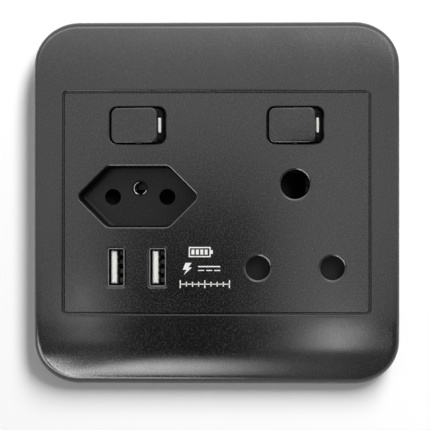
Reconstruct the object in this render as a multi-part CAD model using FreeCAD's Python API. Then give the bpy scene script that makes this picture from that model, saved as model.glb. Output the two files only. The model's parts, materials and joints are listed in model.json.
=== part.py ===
import FreeCAD, Part
import math
import os

# Wall socket: two rocker switches, a hexagonal small-pin socket, a large round-pin socket and two USB ports.
# Millimetres. X runs to the right, Y into the wall and Z up, seen from the room.
# The origin is the middle of the square cover on the wall plane, and the front faces -Y.

V = FreeCAD.Vector

# Cover
PLATE_SIDE = 125.0
PLATE_DEPTH = 12.0
PLATE_CORNER_R = 15.0
PLATE_WALL = 2.0
PLATE_EDGE_SOFT = 1.8
ROLL_DROP = 5.8  # how far the bands above and below the panel roll back towards the wall
ROLL_SETBACK = 1.0  # from the panel opening to where the roll starts
LIP_WALL = 1.2
LIP_DEPTH = 6.0
HOOK_X = 46.0
HOOK_SETBACK = 3.4  # from the lip to the near face of a snap hook
HOOK_WIDTH = 6.0
HOOK_WALL = 1.6
HOOK_REACH = 2.4  # how far the hooks pass the wall plane
BARB = 0.8
BARB_GRIP = 0.5

# Panel, one moulding with a skirt
PANEL_W = 104.4
PANEL_H = 75.4
PANEL_CORNER_R = 1.3
PANEL_THICK = 2.5
SKIRT_WALL = 2.0
EDGE_SOFT = 0.4
CORNER_STEPS = 3  # straight lengths in each rounded corner
WINDOW_STEPS = 5  # the same in the corners of the switch windows and the hexagon

# Switches
COLUMN_X = 26.9  # both switches and both sockets stand in two columns
SWITCH_Z = 26.4
SWITCH_W = 19.1
SWITCH_H = 12.5
SWITCH_CORNER_R = 2.5
PIVOT_SINK = 4.0  # rocker axis behind the panel's front
REST_TILT = 9.0
ROCKER_TOP_HALF = 8.4
ROCKER_LEG_HALF = 8.95
ROCKER_FOOT_HALF = 5.0
ROCKER_RISE = 5.47  # top face above the axis
ROCKER_LEG = 1.0
ROCKER_FOOT = 1.8  # foot below the axis
ROCKER_WALL = 1.2
ROCKER_SIDE_GAP = 0.3
ROCKER_CORNER_R = 2.2
STUB_R = 1.2
STUB_FIT = 0.05
LUG_WALL = 2.0
LUG_GAP = 0.2
LUG_HALF = 3.0
BARREL_R = 2.6
BARREL_REACH = 9.0
PLUNGER_R = 1.5
PLUNGER_FIT = 0.08
PLUNGER_REACH = 17.9  # from the rocker axis to the ball tip
PLUNGER_TAIL = 3.0
PLUNGER_TURNS = 4
TIP_R = 1.0
TIP_STEPS = 3
MARK_H = 5.6
MARK_LENGTH = 3.6
MARK_THICK = 0.3
MARK_MARGIN = 0.5

# Switch contacts
FULCRUM_R = 1.0
FULCRUM_FIT = 0.03
BRIDGE_THICK = 0.8
BRIDGE_WIDTH = 5.0
BRIDGE_SLOPE = 6.0  # each arm of the shallow vee rises by this angle
BRIDGE_LONG = 7.5
BRIDGE_SHORT = 4.5
EAR_WALL = 0.8
EAR_HALF = 1.7
EAR_GAP = 0.2
TIP_GAP = 0.11  # plunger tip to the vee's middle when the rocker is level
BUTTON_R = 1.6
BUTTON_H = 0.8
BUTTON_OUT = 6.2
CONTACT_GAP = 0.03

# Small socket, a hexagonal well with two live pins 19 mm apart and an earth pin
HEX_CENTRE_Z = 2.1
HEX_HALF_H = 10.5
HEX_FLAT_HALF = 10.5
HEX_TIP_R = 2.0
HEX_BEND_R = 3.0
HEX_WALL = 1.5
HEX_DEPTH = 12.0
HEX_FLOOR = 2.0
HEX_EAR_W = 24.0
HEX_EAR_H = 2.5
HEX_EAR_THICK = 1.5
STAKE_R = 1.0
STAKE_X = 8.0
SMALL_PIN_SPREAD = 19.0
SMALL_EARTH_RISE = 3.0
SMALL_HOLE_R = 2.8
SMALL_TUBE_R = 2.4
SMALL_TUBE_WALL = 0.7
HEX_SOFT = 0.5

# Large socket, three round pins
LARGE_PIN_SPREAD = 25.4
LARGE_EARTH_RISE = 28.58
LARGE_EARTH_Z = 6.24
EARTH_HOLE_R = 4.9
LARGE_HOLE_R = 4.05
MOUTH_SOFT = 0.85
COLLAR_WALL = 1.5
COLLAR_DEPTH = 2.0
LARGE_TUBE_R = 3.5
EARTH_TUBE_R = 4.3
LARGE_TUBE_WALL = 0.9

# USB ports
USB_Z = -22.1
USB_LEFT_X = -34.3
USB_RIGHT_X = -20.1
USB_SHELL_W = 5.72
USB_SHELL_H = 13.14
USB_SHELL_WALL = 0.3
USB_SHELL_R = 0.7
USB_SINK = 0.8
USB_GAP = 0.2
USB_RIM = 0.5
TONGUE_BACK = 1.75
TONGUE_FACE = 0.1
TONGUE_END_GAP = 0.77
TONGUE_SINK = 1.6
USB_BASE = 3.0
LEAF_W = 1.0
LEAF_THICK = 0.25
LEAF_BOW = 0.5
LEAF_INNER = 1.0  # from the port's middle to the inner leaves
LEAF_OUTER = 3.5
LEAF_LEAD = 1.0
LEAF_RISE = 1.4
LEAF_FALL = 2.2
BOARD_Y = 3.0
BOARD_THICK = 1.6
BOARD_LEFT = -42.3
BOARD_RIGHT = -6.0
BOARD_LOW = -31.5
BOARD_HIGH = -15.2
BOARD_TAB_X = -11.7
BOARD_TAB_Z = 0.0
POST_INSET_RIGHT = 5.0
POST_RISE_RIGHT = 4.5
POST_INSET_LEFT = 2.4
POST_DROP_LEFT = 3.8
POST_R = 2.0
BOARD_SCREW_REACH = 5.0
BOARD_SCREW_HEAD_H = 1.2
FEED_X = -10.5
FEED_HALF = 0.4
WINDING_W = 12.0
WINDING_DEPTH = 10.0
WINDING_H = 11.0
WINDING_RISE = 2.0
CORE_WALL = 2.0
CORE_FOOT = 3.0
BOBBIN_WALL = 1.0
CAN_R = 3.0
CAN_H = 10.0
CAN_INSET = 6.0
CAN_DROP = 6.5
CHIP_W = 4.0
CHIP_H = 5.0
CHIP_THICK = 1.5
CHIP_LIFT = 0.2
CHIP_DROP = 15.0  # from the board's upper edge
CHIP_OFFSET = 2.2  # from the right port's middle
CHIP_LEGS = 4
LEG_PITCH = 1.27
LEG_W = 0.4
LEG_REACH = 1.0

# Shutters
SHUTTER_THICK = 1.8
SHUTTER_GAP = 0.3
FLAG_HALF = 4.6
CROSSBAR_LOW = -17.2
CROSSBAR_HIGH = -13.2
STEM_LEFT = 17.5
STEM_RIGHT = 22.3
WEDGE_LEFT = 18.5
WEDGE_RIGHT = 31.0
WEDGE_HALF = 4.4
WEDGE_LAND = 2.0
ROUND_TRAVEL = 8.7
RAMP_HALF = 3.2
RAMP_RUN = 6.0
RAMP_LOW = 3.6  # below the pin line
HEX_BAR_H = 3.0
HEX_BAR_THICK = 2.0
GUIDE_WALL = 1.5
GUIDE_DEPTH = 4.5
SEAT_HALF = 3.0
SEAT_EXTRA = 2.0
SPRING_R = 1.0
SPRING_WIRE = 0.22
SPRING_STEPS = 6  # straight lengths of wire in each turn
ROUND_SPRING = 14.0
ROUND_TURNS = 6
HEX_SPRING = 9.0
HEX_TURNS = 5

# Yoke, the steel frame that is screwed to the wall box
YOKE_MARGIN = 6.5  # from the cover's edge to the yoke's
YOKE_THICK = 1.5
YOKE_CORNER_R = 8.0
YOKE_LIP = 4.0
YOKE_FIT = 0.3
FIXING_SPACING = 83.8
FIXING_R = 2.1

# Rear housing
HOUSING_DEPTH = 33.0  # behind the wall plane
HOUSING_WALL = 2.0
HOUSING_CORNER_R = 3.0
LEDGE_X = 2.4
LEDGE_Z = 1.4
LEDGE_THICK = 2.0
SKIRT_FIT = 0.3
SNAP_PROUD = 1.0
SNAP_LENGTH = 6.0
SNAP_X = 30.0
SNAP_Z = 20.0
BOSS_X = 42.5
BOSS_Z = 30.0
BOSS_R = 2.6
BOSS_FOOT_R = 3.6
BOSS_FOOT_H = 3.0
SCREW_R = 1.4
SCREW_HEAD_R = 2.6
SCREW_HEAD_H = 1.8
SCREW_FIT = 0.05
SCREW_SHORT = 1.5  # from the panel's back to the screw's tip
PILOT_SPARE = 1.0
HEAD_FIT = 0.3
HEAD_SIDES = 12
PAD_R = 1.8
BARRIER_HALF = 12.0
BARRIER_WALL = 1.2
BARRIER_GAP = 1.0  # from a terminal to the barrier above it
STRIP_PAD_DROP = 8.0  # from the switches down to the post behind the small socket's live strip
KEEPER_HALF = 2.0

# Current bars
BAR_THICK = 1.0
BAR_WIDTH = 4.0
BACK_LAYER_INSET = 8.5  # from the back wall to the front face of the live and earth bars
LAYER_STEP = 2.5  # from there to the strips that lie nearer the room
BAR_END = 29.0
EARTH_BAR_Z = 7.0
TUBE_SLOT = 0.8
SLOT_SHARE = 0.6  # how much of a sleeve's length is split
SLEEVE_REACH = 3.5  # a large sleeve's length over its bore radius
STRIP_OUT = 6.0  # from the large sleeve's bore to the strip beside it
RISER_OUT = 3.0
FEED_PAD = 1.5
EARTH_SLOT = 7.0
SLEEVE_LEAD = 0.2
EARTH_LEAD = 2.0
SLEEVE_SIDES = 12

# Terminals
LIVE_TERMINAL_Z = 25.0
EARTH_TERMINAL_Z = 7.0
NEUTRAL_TERMINAL_Z = -20.0
TERMINAL_HALF = 4.5
WIRE_R = 1.9
WIRE_INSET = 4.0  # from the back wall to the wire's line
TERMINAL_SCREW_R = 1.6
ENTRY_HALF = 3.75
ENTRY_BELOW = 10.5
ENTRY_ABOVE = 3.5

# Places that follow from the sizes above
front_y = -PLATE_DEPTH
panel_back_y = front_y + PANEL_THICK
yoke_front_y = -YOKE_THICK
window_x = PANEL_W / 2 + EDGE_SOFT
window_z = PANEL_H / 2 + EDGE_SOFT
skirt_x = PANEL_W / 2 - SKIRT_WALL
skirt_z = PANEL_H / 2 - SKIRT_WALL
ledge_x = skirt_x - SKIRT_FIT
ledge_z = skirt_z - SKIRT_FIT
housing_x = ledge_x - LEDGE_X
housing_z = ledge_z - LEDGE_Z
ledge_y = yoke_front_y - LEDGE_THICK
back_wall_y = HOUSING_DEPTH - HOUSING_WALL
wire_y = back_wall_y - WIRE_INSET
back_layer_y = back_wall_y - BACK_LAYER_INSET
front_layer_y = back_layer_y - LAYER_STEP
hook_z = window_z + LIP_WALL + HOOK_SETBACK + HOOK_WALL / 2
pivot_y = front_y + PIVOT_SINK
lug_inner = SWITCH_H / 2 + LUG_GAP
rocker_half_z = SWITCH_H / 2 - ROCKER_SIDE_GAP
stub_reach = lug_inner + LUG_WALL - LUG_GAP
floor_y = front_y + HEX_DEPTH
floor_back_y = floor_y + HEX_FLOOR
shutter_y = panel_back_y + COLLAR_DEPTH + SHUTTER_GAP
hex_shutter_y = floor_back_y + SHUTTER_GAP
small_live_x = -COLUMN_X + SMALL_PIN_SPREAD / 2
small_neutral_x = -COLUMN_X - SMALL_PIN_SPREAD / 2
small_earth_z = HEX_CENTRE_Z + SMALL_EARTH_RISE
large_live_x = COLUMN_X + LARGE_PIN_SPREAD / 2
large_neutral_x = COLUMN_X - LARGE_PIN_SPREAD / 2
large_pin_z = LARGE_EARTH_Z - LARGE_EARTH_RISE
fulcrum_y = pivot_y + PLUNGER_REACH + TIP_GAP + BRIDGE_THICK + FULCRUM_R + FULCRUM_FIT
board_back_y = BOARD_Y + BOARD_THICK


# Solids from simple outlines
def block(x0, x1, y0, y1, z0, z1):
    return Part.makeBox(x1 - x0, y1 - y0, z1 - z0, V(x0, y0, z0))


def rod(radius, x, z, y0, y1):
    return Part.makeCylinder(radius, y1 - y0, V(x, y0, z), V(0, 1, 0))


def fuse(*solids):
    whole = solids[0].multiFuse(list(solids[1:])) if len(solids) > 1 else solids[0]
    return whole.removeSplitter()


def prism(corners, y0, y1, radius=0.0, steps=CORNER_STEPS):
    """A closed outline of (x, z) corners, rounded in straight steps or by arcs, pushed from y0 to y1."""
    radii = radius if isinstance(radius, list) else [radius] * len(corners)
    points = [V(x, y0, z) for x, z in corners]
    arcs = []
    for i, corner in enumerate(points):
        to_last = (points[i - 1] - corner).normalize()
        to_next = (points[(i + 1) % len(points)] - corner).normalize()
        if radii[i] <= 0:
            arcs.append((corner, None, corner))
            continue
        half = to_last.getAngle(to_next) / 2
        bisector = (to_last + to_next).normalize()
        tangent = radii[i] / math.tan(half)
        centre = corner + bisector * (radii[i] / math.sin(half))
        arcs.append((corner + to_last * tangent, centre - bisector * radii[i], corner + to_next * tangent))
    edges = []
    for i, (start, middle, end) in enumerate(arcs):
        if middle is not None:
            arc = Part.Arc(start, middle, end).toShape()
            stops = arc.discretize(steps + 1) if steps else []
            pieces = [Part.LineSegment(a, b).toShape() for a, b in zip(stops, stops[1:])]
            edges += pieces or [arc]
        following = arcs[(i + 1) % len(arcs)][0]
        if end.distanceToPoint(following) > 1e-6:
            edges.append(Part.LineSegment(end, following).toShape())
    return Part.Face(Part.Wire(edges)).extrude(V(0, y1 - y0, 0))


def rectangle(half_x, half_z, x=0.0, z=0.0):
    left, right = x - half_x, x + half_x
    low, high = z - half_z, z + half_z
    return [(left, low), (right, low), (right, high), (left, high)]


def standing(points, z0, z1):
    """An outline of (x, y) points pushed up from z0 to z1."""
    wire = Part.makePolygon([V(x, y, z0) for x, y in points + points[:1]])
    return Part.Face(wire).extrude(V(0, 0, z1 - z0))


def crosswise(points, x0, x1):
    """An outline of (y, z) points pushed across from x0 to x1."""
    wire = Part.makePolygon([V(x0, y, z) for y, z in points + points[:1]])
    return Part.Face(wire).extrude(V(x1 - x0, 0, 0))


def edges_in_plane(shape, y, half_x=math.inf, half_z=math.inf, x=0.0, z=0.0):
    """Edges that lie in the plane at depth y, all of them or those inside a rectangle."""
    found = []
    for edge in shape.Edges:
        box = edge.BoundBox
        flat = abs(box.YMin - y) < 1e-4 and abs(box.YMax - y) < 1e-4
        wide = abs(box.XMin - x) < half_x and abs(box.XMax - x) < half_x
        tall = abs(box.ZMin - z) < half_z and abs(box.ZMax - z) < half_z
        if flat and wide and tall:
            found.append(edge)
    return found


def facet(points):
    return Part.Face(Part.makePolygon(points + points[:1]))


def stacked(loops):
    """A solid through loops of points, all with the same number of points, from front to back."""
    faces = [facet(loops[0]), facet(loops[-1][::-1])]
    for near, far in zip(loops, loops[1:]):
        for i in range(len(near)):
            k = (i + 1) % len(near)
            faces.append(facet([near[i], far[i], far[k], near[k]]))
    return Part.Solid(Part.Shell(faces)).removeSplitter()


def turned(x, z, *rings, sides=12):
    """A many-sided turning about the Y line through (x, z), given as (y, radius) rings from front to back."""
    loops = []
    for y, radius in rings:
        loop = []
        for i in range(sides):
            angle = 2 * math.pi * (i + 0.5) / sides
            loop.append(V(x + radius * math.cos(angle), y, z + radius * math.sin(angle)))
        loops.append(loop)
    return stacked(loops)


def spindle(radius, x, y, z0, z1):
    """A round pin along Z."""
    return Part.makeCylinder(radius, z1 - z0, V(x, y, z0), V(0, 0, 1))


def eye(radius, x, y, z0, z1):
    """A twelve-sided hole along Z that just clears a pin of this radius."""
    hole_r = radius / math.cos(math.pi / 12)
    hole = turned(0, 0, (-z1, hole_r), (-z0, hole_r))
    hole.rotate(V(0, 0, 0), V(1, 0, 0), -90)
    hole.translate(V(x, y, 0))
    return hole


def post(radius, x, z, y0, y1):
    return turned(x, z, (y0, radius), (y1, radius), sides=8)


def pilot(radius, x, z, y0, y1):
    """An eight-sided hole that just clears a round of this radius."""
    return post(radius / math.cos(math.pi / 8), x, z, y0, y1)


def coil(radius, half_wire, length, turns):
    """A compression spring of square wire along +Z from the origin, bent in short straight lengths."""
    count = turns * SPRING_STEPS
    lead = length - 2 * half_wire
    sections = []
    for i in range(count + 1):
        angle = 2 * math.pi * i / SPRING_STEPS
        ray = V(math.cos(angle), math.sin(angle), 0)
        middle = V(0, 0, half_wire + lead * i / count)
        rise = V(0, 0, half_wire)
        inner = middle + ray * (radius - half_wire)
        outer = middle + ray * (radius + half_wire)
        sections.append([inner - rise, outer - rise, outer + rise, inner + rise])
    faces = [facet(sections[0][::-1]), facet(sections[-1])]
    for near, far in zip(sections, sections[1:]):
        for j in range(4):
            k = (j + 1) % 4
            faces.append(facet([near[j], near[k], far[k]]))
            faces.append(facet([near[j], far[k], far[j]]))
    return Part.Solid(Part.Shell(faces))


def split_tube(bore_r, wall, x, z, y_mouth, y_end, slot_end):
    """A pin sleeve with a flared mouth and two spring leaves."""
    outer = turned(x, z, (y_mouth, bore_r + wall), (y_end, bore_r + wall), sides=SLEEVE_SIDES)
    flare = (y_mouth, bore_r + wall / 2)
    bore = turned(x, z, flare, (y_mouth + wall, bore_r), (y_end, bore_r), sides=SLEEVE_SIDES)
    reach = bore_r + 2 * wall
    half = TUBE_SLOT / 2
    slot = block(x - reach, x + reach, y_mouth, slot_end, z - half, z + half)
    return outer.cut([bore, slot])


def screw(x, z, shank_r, head_r, head_h, head_y, tip_y, crossed):
    """A screw driven from behind: the head's seat is at head_y and the tip at tip_y, nearer the room."""
    top = head_y + head_h
    crown = head_h / 5
    shank = turned(x, z, (tip_y, shank_r / 2), (tip_y + shank_r / 2, shank_r), (head_y, shank_r), sides=8)
    head = turned(x, z, (head_y, head_r), (top - crown, head_r), (top, head_r - crown), sides=HEAD_SIDES)
    whole = fuse(shank, head)
    slot_half = head_r / 7
    floor = head_y + head_h / 2
    reach = head_r * (0.6 if crossed else 1.2)
    whole = whole.cut(block(x - reach, x + reach, floor, top, z - slot_half, z + slot_half))
    if crossed:
        whole = whole.cut(block(x - slot_half, x + slot_half, floor, top, z - reach, z + reach))
    return whole


# Cover
def rolled_solid(inset, rear_y, rounded):
    """The cover's outer form, or its hollow when inset by the wall."""
    half = PLATE_SIDE / 2 - inset
    roll_z = window_z + ROLL_SETBACK
    run = PLATE_SIDE / 2 - roll_z
    radius = (run**2 + ROLL_DROP**2) / (2 * ROLL_DROP) - inset
    front = front_y + inset
    rise_mid = (half - roll_z) / 2
    mid_y = front + radius - math.sqrt(radius**2 - rise_mid**2)
    end_y = front + radius - math.sqrt(radius**2 - (half - roll_z) ** 2)
    corners = [V(-half, y, z) for y, z in ((front, -roll_z), (front, roll_z), (end_y, half), (rear_y, half))]
    corners += [V(-half, y, z) for y, z in ((rear_y, -half), (end_y, -half))]
    edges = [
        Part.LineSegment(corners[0], corners[1]).toShape(),
        Part.Arc(corners[1], V(-half, mid_y, roll_z + rise_mid), corners[2]).toShape(),
        Part.LineSegment(corners[2], corners[3]).toShape(),
        Part.LineSegment(corners[3], corners[4]).toShape(),
        Part.LineSegment(corners[4], corners[5]).toShape(),
        Part.Arc(corners[5], V(-half, mid_y, -roll_z - rise_mid), corners[0]).toShape(),
    ]
    bar = Part.Face(Part.Wire(edges)).extrude(V(2 * half, 0, 0))
    corner_r = PLATE_CORNER_R - inset
    solid = bar.common(prism(rectangle(half, half), front, rear_y, corner_r, 0 if rounded else CORNER_STEPS))
    if not rounded:
        return solid
    rim = []
    for edge in solid.Edges:
        box = edge.BoundBox
        if box.YMin > rear_y - 1e-4:
            continue
        middle = edge.valueAt((edge.FirstParameter + edge.LastParameter) / 2)
        over_x = abs(middle.x) - (half - corner_r)
        over_z = abs(middle.z) - (half - corner_r)
        reach = math.hypot(max(over_x, 0), max(over_z, 0))
        runs_back = box.XLength < 1e-4 and box.ZLength < 1e-4
        if reach > corner_r - 1e-3 and not runs_back:
            rim.append(edge)
    return solid.makeChamfer(PLATE_EDGE_SOFT, rim)


def cover_frame():
    shell = rolled_solid(0.0, 0.0, True).cut(rolled_solid(PLATE_WALL, 1.0, False))
    lip_r = PANEL_CORNER_R + EDGE_SOFT
    lip = prism(
        rectangle(window_x + LIP_WALL, window_z + LIP_WALL),
        front_y + PLATE_WALL / 2,
        front_y + LIP_DEPTH,
        lip_r + LIP_WALL,
    )
    pieces = [lip]
    for side in (-1, 1):
        for up in (-1, 1):
            pieces.append(snap_hook(side * HOOK_X, up))
    window = prism(rectangle(window_x, window_z), front_y - 1, front_y + LIP_DEPTH + 1, lip_r)
    frame = fuse(shell, *pieces).cut(window)
    rim = edges_in_plane(frame, front_y, window_x + 0.01, window_z + 0.01)
    return frame.makeChamfer(EDGE_SOFT, rim)


def snap_hook(x, up):
    """A hook that passes the yoke's slot and catches behind it."""
    inner = hook_z - HOOK_WALL / 2
    outer = hook_z + HOOK_WALL / 2
    root_y = front_y + PLATE_WALL * 0.75
    barb_y = BARB_GRIP / 4
    points = [
        (root_y, up * inner),
        (HOOK_REACH, up * inner),
        (HOOK_REACH, up * (outer - BARB / 4)),
        (barb_y + BARB, up * (outer + BARB)),
        (barb_y, up * (outer + BARB)),
        (barb_y, up * outer),
        (root_y, up * outer),
    ]
    return crosswise(points, x - HOOK_WIDTH / 2, x + HOOK_WIDTH / 2)


# Panel
def hex_corners(offset):
    """Corners of the hexagon at a distance outside the well's own wall face."""
    height = HEX_HALF_H + offset
    tip = HEX_FLAT_HALF + HEX_HALF_H + offset * math.sqrt(2)
    flat = tip - height
    cx = -COLUMN_X
    cz = HEX_CENTRE_Z
    return [
        (cx - flat, cz - height),
        (cx + flat, cz - height),
        (cx + tip, cz),
        (cx + flat, cz + height),
        (cx - flat, cz + height),
        (cx - tip, cz),
    ]


def hex_prism(offset, y0, y1, steps=CORNER_STEPS):
    bend = HEX_BEND_R + offset
    tip = HEX_TIP_R + offset
    return prism(hex_corners(offset), y0, y1, [bend, bend, tip, bend, bend, tip], steps)


def large_holes():
    return [
        (COLUMN_X, LARGE_EARTH_Z, EARTH_HOLE_R),
        (large_live_x, large_pin_z, LARGE_HOLE_R),
        (large_neutral_x, large_pin_z, LARGE_HOLE_R),
    ]


def stake_places():
    ear_z = HEX_HALF_H + HEX_WALL + HEX_EAR_H / 2
    return [(-COLUMN_X + side * STAKE_X, HEX_CENTRE_Z + up * ear_z) for side in (-1, 1) for up in (-1, 1)]


def board_posts():
    return [
        (BOARD_RIGHT - POST_INSET_RIGHT, BOARD_LOW + POST_RISE_RIGHT),
        (BOARD_LEFT + POST_INSET_LEFT, BOARD_HIGH - POST_DROP_LEFT),
    ]


def socket_face():
    plate = prism(rectangle(PANEL_W / 2, PANEL_H / 2), front_y, yoke_front_y, PANEL_CORNER_R)
    hollow = prism(rectangle(skirt_x, skirt_z), panel_back_y, yoke_front_y, PANEL_CORNER_R / 2)
    plate = plate.cut(hollow)
    plate = plate.makeChamfer(EDGE_SOFT, edges_in_plane(plate, front_y))
    added = []
    removed = []
    for side in (-1, 1):
        x = side * COLUMN_X
        window = rectangle(SWITCH_W / 2, SWITCH_H / 2, x, SWITCH_Z)
        removed.append(prism(window, front_y, panel_back_y, SWITCH_CORNER_R, WINDOW_STEPS))
        for up in (-1, 1):
            low, high = sorted((SWITCH_Z + up * lug_inner, SWITCH_Z + up * (lug_inner + LUG_WALL)))
            lug_back = pivot_y + LUG_HALF - STUB_R / 2
            added.append(block(x - LUG_HALF, x + LUG_HALF, panel_back_y, lug_back, low, high))
            removed.append(eye(STUB_R + STUB_FIT, x, pivot_y, low, high))
    removed.append(hex_prism(0.0, front_y, panel_back_y, WINDOW_STEPS))
    collar_y = panel_back_y + COLLAR_DEPTH
    for x, z, radius in large_holes():
        added.append(post(radius + COLLAR_WALL, x, z, panel_back_y, collar_y))
        removed.append(rod(radius, x, z, front_y, collar_y))
    for x in (USB_LEFT_X, USB_RIGHT_X):
        port = rectangle(USB_SHELL_W / 2 + USB_GAP, USB_SHELL_H / 2 + USB_GAP, x, USB_Z)
        removed.append(prism(port, front_y, panel_back_y, USB_SHELL_R + USB_GAP))
    for side in (-1, 1):
        for up in (-1, 1):
            x, z = side * BOSS_X, up * BOSS_Z
            added.append(post(BOSS_R, x, z, panel_back_y, ledge_y))
            removed.append(pilot(SCREW_R + SCREW_FIT, x, z, panel_back_y + SCREW_SHORT / 2, ledge_y))
    for x, z in stake_places():
        added.append(post(STAKE_R, x, z, panel_back_y, panel_back_y + HEX_EAR_THICK + EDGE_SOFT))
    for x, z in board_posts():
        added.append(post(POST_R, x, z, panel_back_y, BOARD_Y))
        pilot_y = BOARD_Y - BOARD_SCREW_REACH - PILOT_SPARE
        removed.append(pilot(SCREW_R / 2 + SCREW_FIT, x, z, pilot_y, BOARD_Y))
    added += shutter_guides()
    face = fuse(plate, *added).cut(removed)
    rims = [(x, z, radius + 0.01, radius + 0.01, MOUTH_SOFT) for x, z, radius in large_holes()]
    port_x = USB_SHELL_W / 2 + USB_GAP + 0.01
    port_z = USB_SHELL_H / 2 + USB_GAP + 0.01
    rims += [(x, USB_Z, port_x, port_z, USB_RIM) for x in (USB_LEFT_X, USB_RIGHT_X)]
    switch_rim = (SWITCH_Z, SWITCH_W / 2 + 0.01, SWITCH_H / 2 + 0.01, EDGE_SOFT)
    rims += [(side * COLUMN_X, *switch_rim) for side in (-1, 1)]
    hex_tip = HEX_FLAT_HALF + HEX_HALF_H
    rims.append((-COLUMN_X, HEX_CENTRE_Z, hex_tip, HEX_HALF_H + 0.01, HEX_SOFT))
    for x, z, half_x, half_z, soft in rims:
        face = face.makeChamfer(soft, edges_in_plane(face, front_y, half_x, half_z, x, z))
    return face


def shutter_guides():
    """Ribs behind the panel that guide the large socket's shutter and seat both shutter springs."""
    rib_y = panel_back_y + GUIDE_DEPTH
    right = large_live_x + FLAG_HALF + SHUTTER_GAP
    left = large_neutral_x - FLAG_HALF - ROUND_TRAVEL
    low = large_pin_z - FLAG_HALF - SHUTTER_GAP
    high = CROSSBAR_HIGH + SHUTTER_GAP
    seat_x = large_neutral_x - FLAG_HALF - ROUND_SPRING
    seat_z = hex_bar_low() - HEX_SPRING
    hex_seat_left = -COLUMN_X - SEAT_HALF
    hex_seat_right = -COLUMN_X + SEAT_HALF
    return [
        block(left, right, panel_back_y, rib_y, low - GUIDE_WALL, low),
        block(WEDGE_RIGHT + SEAT_EXTRA, right, panel_back_y, rib_y, high, high + GUIDE_WALL),
        block(left, STEM_LEFT - ROUND_TRAVEL - SHUTTER_GAP, panel_back_y, rib_y, high, high + GUIDE_WALL),
        block(right, right + GUIDE_WALL, panel_back_y, rib_y, low - GUIDE_WALL, high + GUIDE_WALL),
        block(seat_x - GUIDE_WALL, seat_x, panel_back_y, rib_y + SEAT_EXTRA / 2, CROSSBAR_LOW, CROSSBAR_HIGH),
        block(hex_seat_left, hex_seat_right, panel_back_y, BOARD_Y + SEAT_EXTRA, seat_z - GUIDE_WALL, seat_z),
    ]


def hex_bar_low():
    return HEX_CENTRE_Z - RAMP_LOW - HEX_BAR_H


def hex_insert():
    """The well behind the panel: its walls, its floor with three pin holes, and two staked ears."""
    cup = hex_prism(HEX_WALL, panel_back_y, floor_back_y)
    ears = []
    half = HEX_EAR_W / 2
    ear_back = panel_back_y + HEX_EAR_THICK
    for up in (-1, 1):
        reach = HEX_HALF_H + HEX_WALL + HEX_EAR_H
        low, high = sorted((HEX_CENTRE_Z + up * HEX_HALF_H, HEX_CENTRE_Z + up * reach))
        ears.append(block(-COLUMN_X - half, -COLUMN_X + half, panel_back_y, ear_back, low, high))
    guides = []
    for side in (-1, 1):
        inner = SMALL_PIN_SPREAD / 2 + RAMP_HALF + SHUTTER_GAP
        low, high = sorted((side * inner, side * (inner + GUIDE_WALL)))
        guides.append(
            block(
                -COLUMN_X + low,
                -COLUMN_X + high,
                floor_back_y,
                floor_back_y + GUIDE_DEPTH,
                HEX_CENTRE_Z - RAMP_LOW,
                HEX_CENTRE_Z + RAMP_HALF,
            )
        )
    body = fuse(cup, *ears, *guides)
    removed = [hex_prism(0.0, panel_back_y, floor_y, WINDOW_STEPS)]
    for x, z in small_pins():
        removed.append(rod(SMALL_HOLE_R, x, z, floor_y, floor_back_y))
    for x, z in stake_places():
        removed.append(pilot(STAKE_R + SCREW_FIT, x, z, panel_back_y, ear_back))
    return body.cut(removed)


def small_pins():
    return [
        (small_neutral_x, HEX_CENTRE_Z),
        (small_live_x, HEX_CENTRE_Z),
        (-COLUMN_X, small_earth_z),
    ]


# Yoke
def mounting_yoke():
    half = PLATE_SIDE / 2 - YOKE_MARGIN
    sheet = prism(rectangle(half, half), yoke_front_y, 0.0, YOKE_CORNER_R)
    lips = []
    lip_half = half - YOKE_CORNER_R
    for up in (-1, 1):
        low, high = sorted((up * (half - YOKE_THICK), up * half))
        lips.append(block(-lip_half, lip_half, -YOKE_LIP, yoke_front_y / 2, low, high))
    tub_way = rectangle(housing_x + YOKE_FIT, housing_z + YOKE_FIT)
    removed = [
        prism(tub_way, yoke_front_y, 0.0, HOUSING_CORNER_R + YOKE_FIT),
        hex_prism(HEX_WALL + YOKE_FIT, yoke_front_y, 0.0),
    ]
    slot_low = hook_z - HOOK_WALL / 2 - 2 * YOKE_FIT
    slot_high = hook_z + HOOK_WALL / 2 + BARB - BARB_GRIP
    for side in (-1, 1):
        removed.append(rod(FIXING_R, 0.0, side * FIXING_SPACING / 2, yoke_front_y, 0.0))
        for up in (-1, 1):
            low, high = sorted((up * slot_low, up * slot_high))
            x = side * HOOK_X
            reach = HOOK_WIDTH / 2 + YOKE_FIT
            removed.append(block(x - reach, x + reach, yoke_front_y, 0.0, low, high))
    return fuse(sheet, *lips).cut(removed)


# Rear housing
def terminals():
    """Height and bar layer of each terminal."""
    return {
        "live": (LIVE_TERMINAL_Z, back_layer_y),
        "earth": (EARTH_TERMINAL_Z, back_layer_y),
        "neutral": (NEUTRAL_TERMINAL_Z, front_layer_y),
    }


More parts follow.
